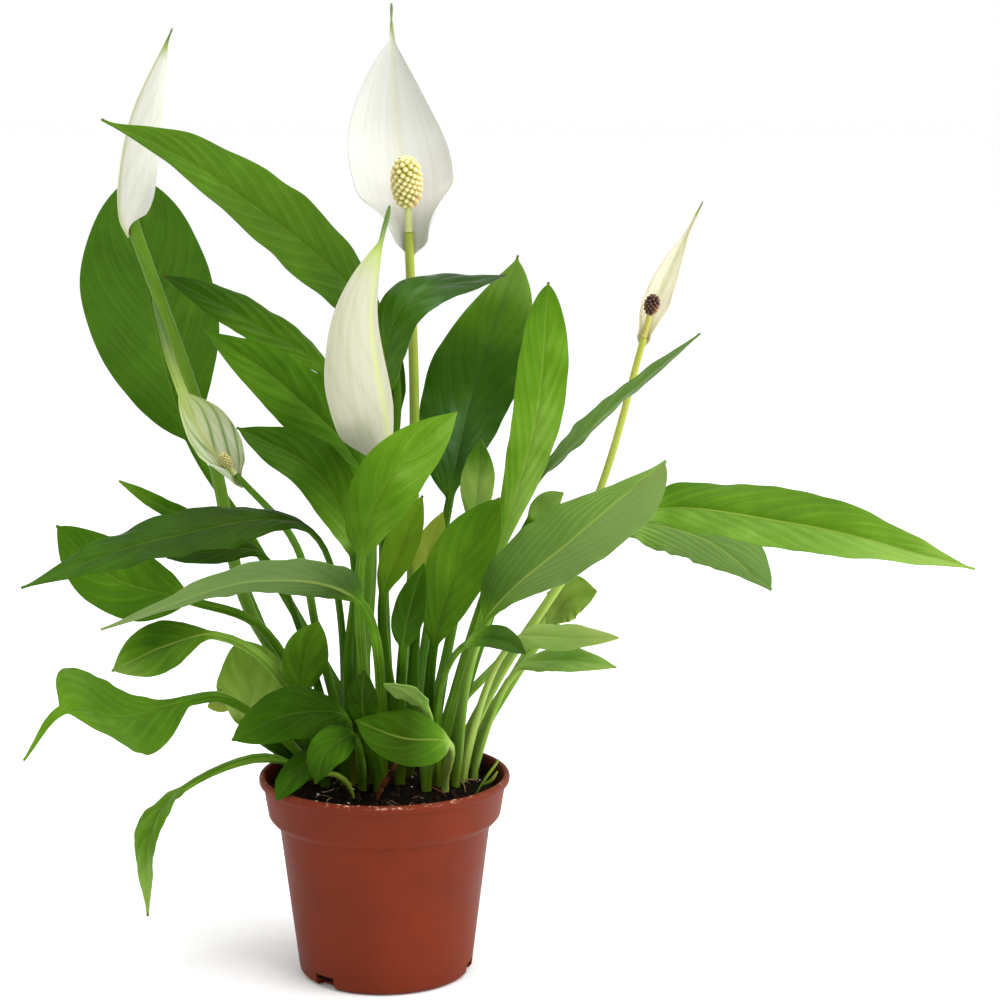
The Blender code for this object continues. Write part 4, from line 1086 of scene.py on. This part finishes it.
def scatter(name, count, seed, sizes, squash, finish, radius, sink):
    """Copies of one lump, each turned, stretched and dented its own way, strewn over the soil."""
    draw = np.random.default_rng(seed)
    deselect()
    bpy.ops.mesh.primitive_ico_sphere_add(subdivisions=2, radius=1.0)
    lump = new_piece(name)
    ball = points_of(lump)
    faces = np.array([list(face.vertices) for face in lump.data.polygons])
    points, polygons = [], []
    for i in range(count):
        ring = radius * math.sqrt(draw.random())
        turn = draw.random() * 2 * math.pi
        x, y = ring * math.cos(turn), ring * math.sin(turn)
        big = sizes[0] + (sizes[1] - sizes[0]) * draw.random() ** 2.5
        axes = np.linalg.qr(draw.normal(size=(3, 3)))[0]
        dents = np.array([noise.noise(Vector(p * 1.4 + i * 3.7)) for p in ball])
        shape = ball * (1 + 0.45 * dents)[:, None] * big * draw.uniform(squash, 1.0, 3)
        points.append(shape @ axes + (x, y, SOIL_TOP + soil_top(x, y) + big * sink))
        polygons.append(faces + i * len(ball))
    mesh = bpy.data.meshes.new(name)
    mesh.from_pydata((np.vstack(points) * MM).tolist(), [], np.vstack(polygons).tolist())
    lump.data = mesh
    open_mesh(lump)
    close_mesh()
    round_edges(lump, 40)
    return settle(lump, [], "soil", finish)


def fibres(name, count, seed, finish, radius):
    """Pale roots and fibres that lie on the soil in loops."""
    draw = np.random.default_rng(seed)
    strands = []
    for _ in range(count):
        ring = radius * math.sqrt(draw.uniform(0.1, 1.0))
        turn = draw.random() * 2 * math.pi
        at = np.array((ring * math.cos(turn), ring * math.sin(turn)))
        heading = draw.random() * 2 * math.pi
        long = draw.uniform(*FIBRE_LENGTH)
        arch = draw.uniform(*FIBRE_ARCH)
        steps = FIBRE_POINTS - 1
        path = []
        for k in range(FIBRE_POINTS):
            height = SOIL_TOP + soil_top(*at) + arch * math.sin(math.pi * k / steps) - 0.3
            path.append((at[0], at[1], height))
            heading += draw.normal() * 0.55
            step = at + long / steps * np.array((math.cos(heading), math.sin(heading)))
            at = step if np.hypot(*step) < radius else at * 0.93
        line = spline(path)[::12]
        thick = draw.uniform(*FIBRE_R)
        taper = np.interp(np.linspace(0, 1, len(line)), [0, 1], [thick, thick * 0.5])
        strands.append(rod("strand", line, taper, 5)[0])
    piece = join(name, strands)
    round_edges(piece, 80)
    return settle(piece, [], "soil", finish)


def litter(dry, green):
    """The small things at the foot of the plant: a dead sheath, a leaf base and a seedling."""
    for name, points, radius, slot in LITTER:
        line = spline(points)[::6]
        thick = radius * np.sin(np.pi * (0.12 + 0.8 * np.linspace(0, 1, len(line)))) ** 0.7
        piece, v, turn = rod("lily_" + name, line, thick, 8)
        add_colours(piece, "tint", 0.5 + 0.3 * v, 0.2, 0)
        set_map(piece, turn, v * 3)
        round_edges(piece)
        settle(piece, [], slot, green if slot == "stem" else dry)


# ---------------------------------------------------------------- pot
SHOULDER_LOW = 73.5     # where the band's shoulder meets the tapered body
SHOULDER_R = 50.6       # outside radius at the foot of the shoulder
SHOULDER_TOP = 77.4     # where the shoulder turns up into the band
SHOULDER_TOP_R = 55.5
BAND_LOW = 79.0         # lower edge of the rim band
BAND_R = 55.8           # outside radius where the band starts
LIP_H = 4.5             # height of the rolled lip
LIP_OUT = 2.0           # how far it stands out
POT_FLOOR = 2.6         # thickness of the floor
POT_SIDES = 128
NOTCHES = (-132.0, -12.0, 108.0)      # drain notches round the foot, degrees
NOTCH_R = 41.6          # how far out their middles are
NOTCH_BLOCK = (11.0, 12.0, 12.0)      # along the radius, across it, and twice the height


def turned(piece, outline):
    """Raises the outline ring by ring from a filled round base, and closes it with a floor."""
    open_mesh(piece)
    bpy.ops.mesh.region_to_loop()
    for (r0, z0), (r1, z1) in zip(outline, outline[1:]):
        bpy.ops.mesh.extrude_region_move(TRANSFORM_OT_translate={"value": (0, 0, (z1 - z0) * MM)})
        bpy.ops.transform.resize(value=(r1 / r0, r1 / r0, 1), center_override=(0, 0, z1 * MM))
    bpy.ops.mesh.edge_face_add()
    close_mesh()


def rounded(points, radius, steps):
    """An outline in (radius, height) with its corners rounded off."""
    out = [points[0]]
    for a, b, c in zip(points, points[1:], points[2:]):
        a, b, c = (np.array(p, float) for p in (a, b, c))
        reach = min(radius, 0.45 * np.linalg.norm(b - a), 0.45 * np.linalg.norm(c - b))
        start, end = b + reach * unit(a - b), b + reach * unit(c - b)
        for k in range(steps + 1):
            u = k / steps
            out.append(tuple((1 - u) ** 2 * start + 2 * u * (1 - u) * b + u * u * end))
    return out + [points[-1]]


def cut_away(piece, block):
    """Takes a block out of a piece."""
    apply_modifier(piece, "BOOLEAN", operation="DIFFERENCE", solver="EXACT", object=block)
    bpy.data.objects.remove(block)


def pot(sizes, finish):
    """The nursery pot: tapered body, shouldered rim band, rolled lip and three drain notches."""
    rim, foot, wall = sizes.rim_radius / MM, sizes.foot_radius / MM, sizes.wall / MM
    top = POT_TOP / MM
    lip, lip_low = rim - LIP_OUT, top - LIP_H
    outline = [(foot - 1.6, 0.0), (foot, 1.6), (SHOULDER_R, SHOULDER_LOW),
               (SHOULDER_R + 2.4, SHOULDER_LOW + 1.0), (SHOULDER_TOP_R, SHOULDER_TOP),
               (BAND_R, BAND_LOW), (lip, lip_low), (rim - 0.3, lip_low + 0.6),
               (rim, lip_low + 1.6), (rim, top - 1.1), (rim - 0.8, top), (rim - 2.2, top),
               (rim - 2.8, top - 0.8), (lip - wall, lip_low - 1), (BAND_R - wall, BAND_LOW + 1),
               (SHOULDER_R - wall, SHOULDER_LOW - 1), (foot - wall, POT_FLOOR)]
    outline = rounded(outline, 0.8, 4)
    deselect()
    bpy.ops.mesh.primitive_circle_add(vertices=POT_SIDES, radius=outline[0][0] * MM,
                                      fill_type="NGON")
    piece = new_piece("lily_pot")
    turned(piece, outline)
    for angle in NOTCHES:
        deselect()
        turn = math.radians(angle)
        place = (NOTCH_R * MM * math.cos(turn), NOTCH_R * MM * math.sin(turn), 0)
        bpy.ops.mesh.primitive_cube_add(size=1.0, location=place, rotation=(0, 0, turn),
                                        scale=[side * MM for side in NOTCH_BLOCK])
        cut_away(piece, bpy.context.object)
    points = points_of(piece) / MM
    ring = np.hypot(points[:, 0], points[:, 1])
    lip_edge = np.exp(-((points[:, 2] - top) / 1.1) ** 2) * (ring > rim - 3.2)
    front = np.exp(-((np.degrees(np.arctan2(points[:, 1], points[:, 0])) + 85) / 32) ** 2)
    wear_and_shade = lip_edge * (0.25 + 0.75 * front)
    outer = np.interp(points[:, 2], [0, SHOULDER_LOW, SHOULDER_TOP, lip_low, lip_low + 1, top],
                      [foot, SHOULDER_R, SHOULDER_TOP_R, lip, rim - 1, rim - 1])
    # the second number is painted shade on the inner wall below the rim, beside the lip's wear in
    # the first
    inside = (ring < outer - 1.2) & (points[:, 2] > 60)
    inner_shade = inside * smooth((top - 0.5 - points[:, 2]) / 4)
    add_colours(piece, "wear_and_shade", wear_and_shade, inner_shade, 0)
    round_edges(piece, 32)
    return settle(piece, ["pot"], "terracotta", finish)


# ---------------------------------------------------------------- choices for the user
def amount(name, description, default, low=0.0, high=1.0, **more):
    return FloatProperty(name=name, description=description, default=default, min=low, max=high,
                         **more)


def measure(name, description, default, low, high):
    return amount(name, description, default, low, high, unit="LENGTH", precision=4)


def number(name, description, default, low, high):
    return IntProperty(name=name, description=description, default=default, min=low, max=high)


def shade(name, description, *default):
    return FloatVectorProperty(name=name, description=description, default=rgb(*default),
                               subtype="COLOR", size=3, min=0, max=1)


class PotChoices(bpy.types.PropertyGroup):
    rim_radius: measure("Rim radius", "Outside radius of the rim", 0.060, 0.058, 0.062)
    foot_radius: measure("Foot radius", "Outside radius of the foot", 0.0416, 0.040, 0.043)
    wall: measure("Wall", "Thickness of the wall", 0.0018, 0.001, 0.003)
    colour: shade("Colour", "Colour of the plastic", 107, 39, 17)


class SoilChoices(bpy.types.PropertyGroup):
    crumbs: number("Crumbs", "Loose lumps of peat", 260, 0, 600)
    perlite: number("Perlite", "White grains", 26, 0, 100)
    fibres: number("Fibres", "Roots and fibres on the soil", 44, 0, 100)


class LeafChoices(bpy.types.PropertyGroup):
    thickness: measure("Thickness", "Thickness of a blade", 0.0007, 0.0004, 0.001)
    veins: measure("Veins", "Height of the bands between the veins", 0.0002, 0.0, 0.001)
    gloss: amount("Roughness", "Roughness of the upper face", 0.42)
    streaks: amount("Streaks", "How much the tone wanders along the veins", 0.055)
    deepest: shade("Deepest", "Tone of the deepest leaves", 25, 48, 2)
    deep: shade("Deep", "Tone of the deep leaves", 36, 68, 6)
    middle: shade("Middle", "Tone of most leaves", 52, 87, 12)
    light: shade("Light", "Tone of the light leaves", 76, 114, 20)
    palest: shade("Palest", "Tone of the palest leaves", 112, 146, 58)


class FlowerChoices(bpy.types.PropertyGroup):
    white: shade("White", "Colour of an open spathe", 187, 187, 182)
    ivory: shade("Ivory", "Colour of the closed spathe", 166, 165, 146)
    faded: shade("Faded", "Colour of the fading spathe", 224, 221, 204)
    green: shade("Green", "Colour of the tips", 66, 98, 18)
    florets: number("Florets", "Florets on the open spadix", 140, 40, 200)


class StageChoices(bpy.types.PropertyGroup):
    floor: shade("Floor", "Colour of the floor", 255, 255, 255)
    key: amount("Key light", "Power of the key light", 36.0, 0.0, 100.0, unit="POWER")
    world: amount("Sky", "Strength of the white surround", 1.0, 0.0, 3.0)
    lens: amount("Lens", "Focal length in mm", 93.0, 20.0, 200.0, unit="CAMERA")


class LilyChoices(bpy.types.PropertyGroup):
    pot: PointerProperty(type=PotChoices)
    soil: PointerProperty(type=SoilChoices)
    leaf: PointerProperty(type=LeafChoices)
    flower: PointerProperty(type=FlowerChoices)
    stage: PointerProperty(type=StageChoices)


# ---------------------------------------------------------------- stage, metres and degrees
FLOOR_WIDE = 40.0
FLOOR_DROP = 0.0005     # how far the floor lies below the pot's foot
LIT = Vector((0.04, 0, 0.24))         # where the lamps point
# The lamps: name, place, width and share of the key light's power.
LAMPS = (
    ("key", (1.5, -0.7, 1.0), 2.2, 1.0),
    ("top", (0.2, -0.2, 1.8), 1.0, 0.5),
)
TILT = 80.5             # of the camera, up from straight down
SENSOR = 36.0           # its sensor's width, mm


# ---------------------------------------------------------------- operators
class LILY_OT_pot(bpy.types.Operator):
    """Turns the terracotta nursery pot"""
    bl_idname = "lily.pot"
    bl_label = "Pot"

    def execute(self, context):
        choices = context.scene.peace_lily.pot
        pot(choices, pot_finish(tuple(choices.colour)))
        return {"FINISHED"}


class LILY_OT_soil(bpy.types.Operator):
    """Fills the pot with peat and strews crumbs, perlite and roots over it"""
    bl_idname = "lily.soil"
    bl_label = "Soil"

    def execute(self, context):
        choices = context.scene.peace_lily.soil
        soil_body(soil_finish())
        crumb = plain_finish("peat crumb", rgb(12, 8, 6), rgb(46, 30, 20), 300.0, 0.9)
        grain = plain_finish("perlite", rgb(190, 184, 172), rgb(240, 238, 230), 500.0, 0.85)
        fibre = plain_finish("root fibre", rgb(92, 64, 40), rgb(186, 158, 118), 120.0, 0.8)
        scatter("lily_soil_crumbs", choices.crumbs, 3, (0.5, 2.4), 0.55, crumb, CRUMBS_R, 0.1)
        scatter("lily_soil_perlite", choices.perlite, 8, (0.4, 1.1), 0.7, grain, BITS_R, 0.3)
        fibres("lily_soil_fibres", choices.fibres, 5, fibre, BITS_R)
        sheath = plain_finish("dead sheath", rgb(40, 14, 10), rgb(104, 52, 34), 160.0, 0.7)
        litter(sheath, stem_finish())
        return {"FINISHED"}


class LILY_OT_leaves(bpy.types.Operator):
    """Grows every leaf on its stalk"""
    bl_idname = "lily.leaves"
    bl_label = "Leaves"

    def execute(self, context):
        c = context.scene.peace_lily.leaf
        stops = [(i / 4, tuple(tone)) for i, tone in
                 enumerate((c.deepest, c.deep, c.middle, c.light, c.palest))]
        grey = [(place, tuple(0.85 * x + 0.15 * g for x, g in zip(tone, UNDERSIDE_GREY)))
                for place, tone in stops]
        satin = leaf_finish("leaf upper face", stops, c.gloss, 0.08, c.streaks, (0.6, 1.0, 0.1))
        shiny = leaf_finish("glossy leaf upper face", stops, 0.30, 0.14, c.streaks, (0.6, 1.0, 0.6))
        under = leaf_finish("leaf underside", grey, 0.6, 0.06, c.streaks, (1.0, 1.0, 1.0))
        for row in LEAVES:
            upper = shiny if row[0] in SHINY_LEAVES else satin
            leaf(row, LEAF_LOOKS[row[0]], c.thickness / MM, c.veins / MM, upper, under)
        return {"FINISHED"}


class LILY_OT_stems(bpy.types.Operator):
    """Raises the flower stems"""
    bl_idname = "lily.stems"
    bl_label = "Flower stems"

    def execute(self, context):
        finish = stem_finish()
        for row in FLOWERS:
            stem(row, finish)
        return {"FINISHED"}


class LILY_OT_spathes(bpy.types.Operator):
    """Shapes the white hoods"""
    bl_idname = "lily.spathes"
    bl_label = "Spathes"

    def execute(self, context):
        c = context.scene.peace_lily.flower
        # flower_left's tones are lighter than the white: painted light on a spathe that lies in
        # shade
        tones = {"flower_main": (tuple(c.white), rgb(180, 180, 171)),
                 "flower_left": (rgb(206, 206, 196), rgb(198, 198, 184)),
                 "flower_closed": (tuple(c.ivory), rgb(156, 157, 128)),
                 "flower_fading": (tuple(c.faded), rgb(212, 204, 172)),
                 "flower_young": (rgb(196, 202, 174), rgb(164, 176, 128))}
        for row in FLOWERS:
            look = HOOD_LOOKS[row.name]
            faces = [spathe_finish(row.hood + " spathe " + side, *tones[row.name], tuple(c.green),
                                   look.veins, side == "back") for side in ("inside", "back")]
            spathe(row, look, *faces)
        return {"FINISHED"}


class LILY_OT_spadices(bpy.types.Operator):
    """Packs florets on the spadices"""
    bl_idname = "lily.spadices"
    bl_label = "Spadices"

    def execute(self, context):
        c = context.scene.peace_lily.flower
        cream = spadix_finish("cream florets", rgb(176, 168, 88), rgb(208, 198, 130),
                              rgb(240, 234, 200), rgb(188, 196, 124))
        brown = spadix_finish("withered florets", rgb(30, 14, 5), rgb(78, 44, 16),
                              rgb(140, 96, 44), rgb(186, 176, 84))
        for row in FLOWERS:
            count = c.florets if row.name == "flower_main" else max(30, c.florets // 2)
            spadix(row, count, cream if row.club == "cream" else brown)
        return {"FINISHED"}


class LILY_OT_stage(bpy.types.Operator):
    """Lays the pale floor, the soft lights and the camera"""
    bl_idname = "lily.stage"
    bl_label = "Stage"

    def execute(self, context):
        c = context.scene.peace_lily.stage
        deselect()
        bpy.ops.mesh.primitive_plane_add(size=FLOOR_WIDE, location=(0, 0, -FLOOR_DROP))
        floor = new_piece("studio_floor")
        floor.data.transform(floor.matrix_world)
        floor.matrix_world.identity()
        f = Finish("studio floor", 0.9)
        cloud = f.noise(f.place(), 3.0, 2.0)
        pale = tuple(c.floor)
        f.set(Base_Color=f.mix(f.span(cloud, 0.3, 0.7), pale, tuple(0.995 * x for x in pale)))
        floor.data.materials.append(f.material)

        world = bpy.data.worlds.new("studio")
        world.use_nodes = True
        surround = world.node_tree.nodes["Background"].inputs
        surround["Color"].default_value = (1, 1, 1, 1)
        surround["Strength"].default_value = c.world
        context.scene.world = world
        for name, place, wide, share in LAMPS:
            lamp = bpy.data.lights.new(name, "AREA")
            lamp.size = wide
            lamp.energy = share * c.key
            light = bpy.data.objects.new(name, lamp)
            light.location = place
            light.rotation_euler = (LIT - Vector(place)).to_track_quat("-Z", "Y").to_euler()
            context.scene.collection.objects.link(light)
        eye = bpy.data.cameras.new("camera")
        eye.lens = c.lens
        eye.sensor_width = SENSOR
        camera = bpy.data.objects.new("camera", eye)
        camera.location = Vector(EYE * MM)
        camera.rotation_euler = (math.radians(TILT), 0, 0)
        context.scene.collection.objects.link(camera)
        context.scene.camera = camera
        context.scene.view_settings.view_transform = "Standard"
        return {"FINISHED"}


STEPS_IN_ORDER = (LILY_OT_stage, LILY_OT_pot, LILY_OT_soil, LILY_OT_leaves, LILY_OT_stems,
                  LILY_OT_spathes, LILY_OT_spadices)


class LILY_PT_panel(bpy.types.Panel):
    bl_label = "Peace lily"
    bl_idname = "LILY_PT_panel"
    bl_space_type = "VIEW_3D"
    bl_region_type = "UI"
    bl_category = "Peace lily"

    def draw(self, context):
        choices = context.scene.peace_lily
        for group in ("pot", "soil", "leaf", "flower", "stage"):
            box = self.layout.box()
            held = getattr(choices, group)
            for key in held.__annotations__:
                box.prop(held, key)
        for step in STEPS_IN_ORDER:
            self.layout.operator(step.bl_idname)


CLASSES = (PotChoices, SoilChoices, LeafChoices, FlowerChoices, StageChoices, LilyChoices,
           *STEPS_IN_ORDER, LILY_PT_panel)


def register():
    for each in CLASSES:
        bpy.utils.register_class(each)
    bpy.types.Scene.peace_lily = PointerProperty(type=LilyChoices)


def unregister():
    del bpy.types.Scene.peace_lily
    for each in reversed(CLASSES):
        bpy.utils.unregister_class(each)


def main():
    register()
    for step in STEPS_IN_ORDER:
        group, name = step.bl_idname.split(".")
        getattr(getattr(bpy.ops, group), name)()


if __name__ == "__main__":
    main()
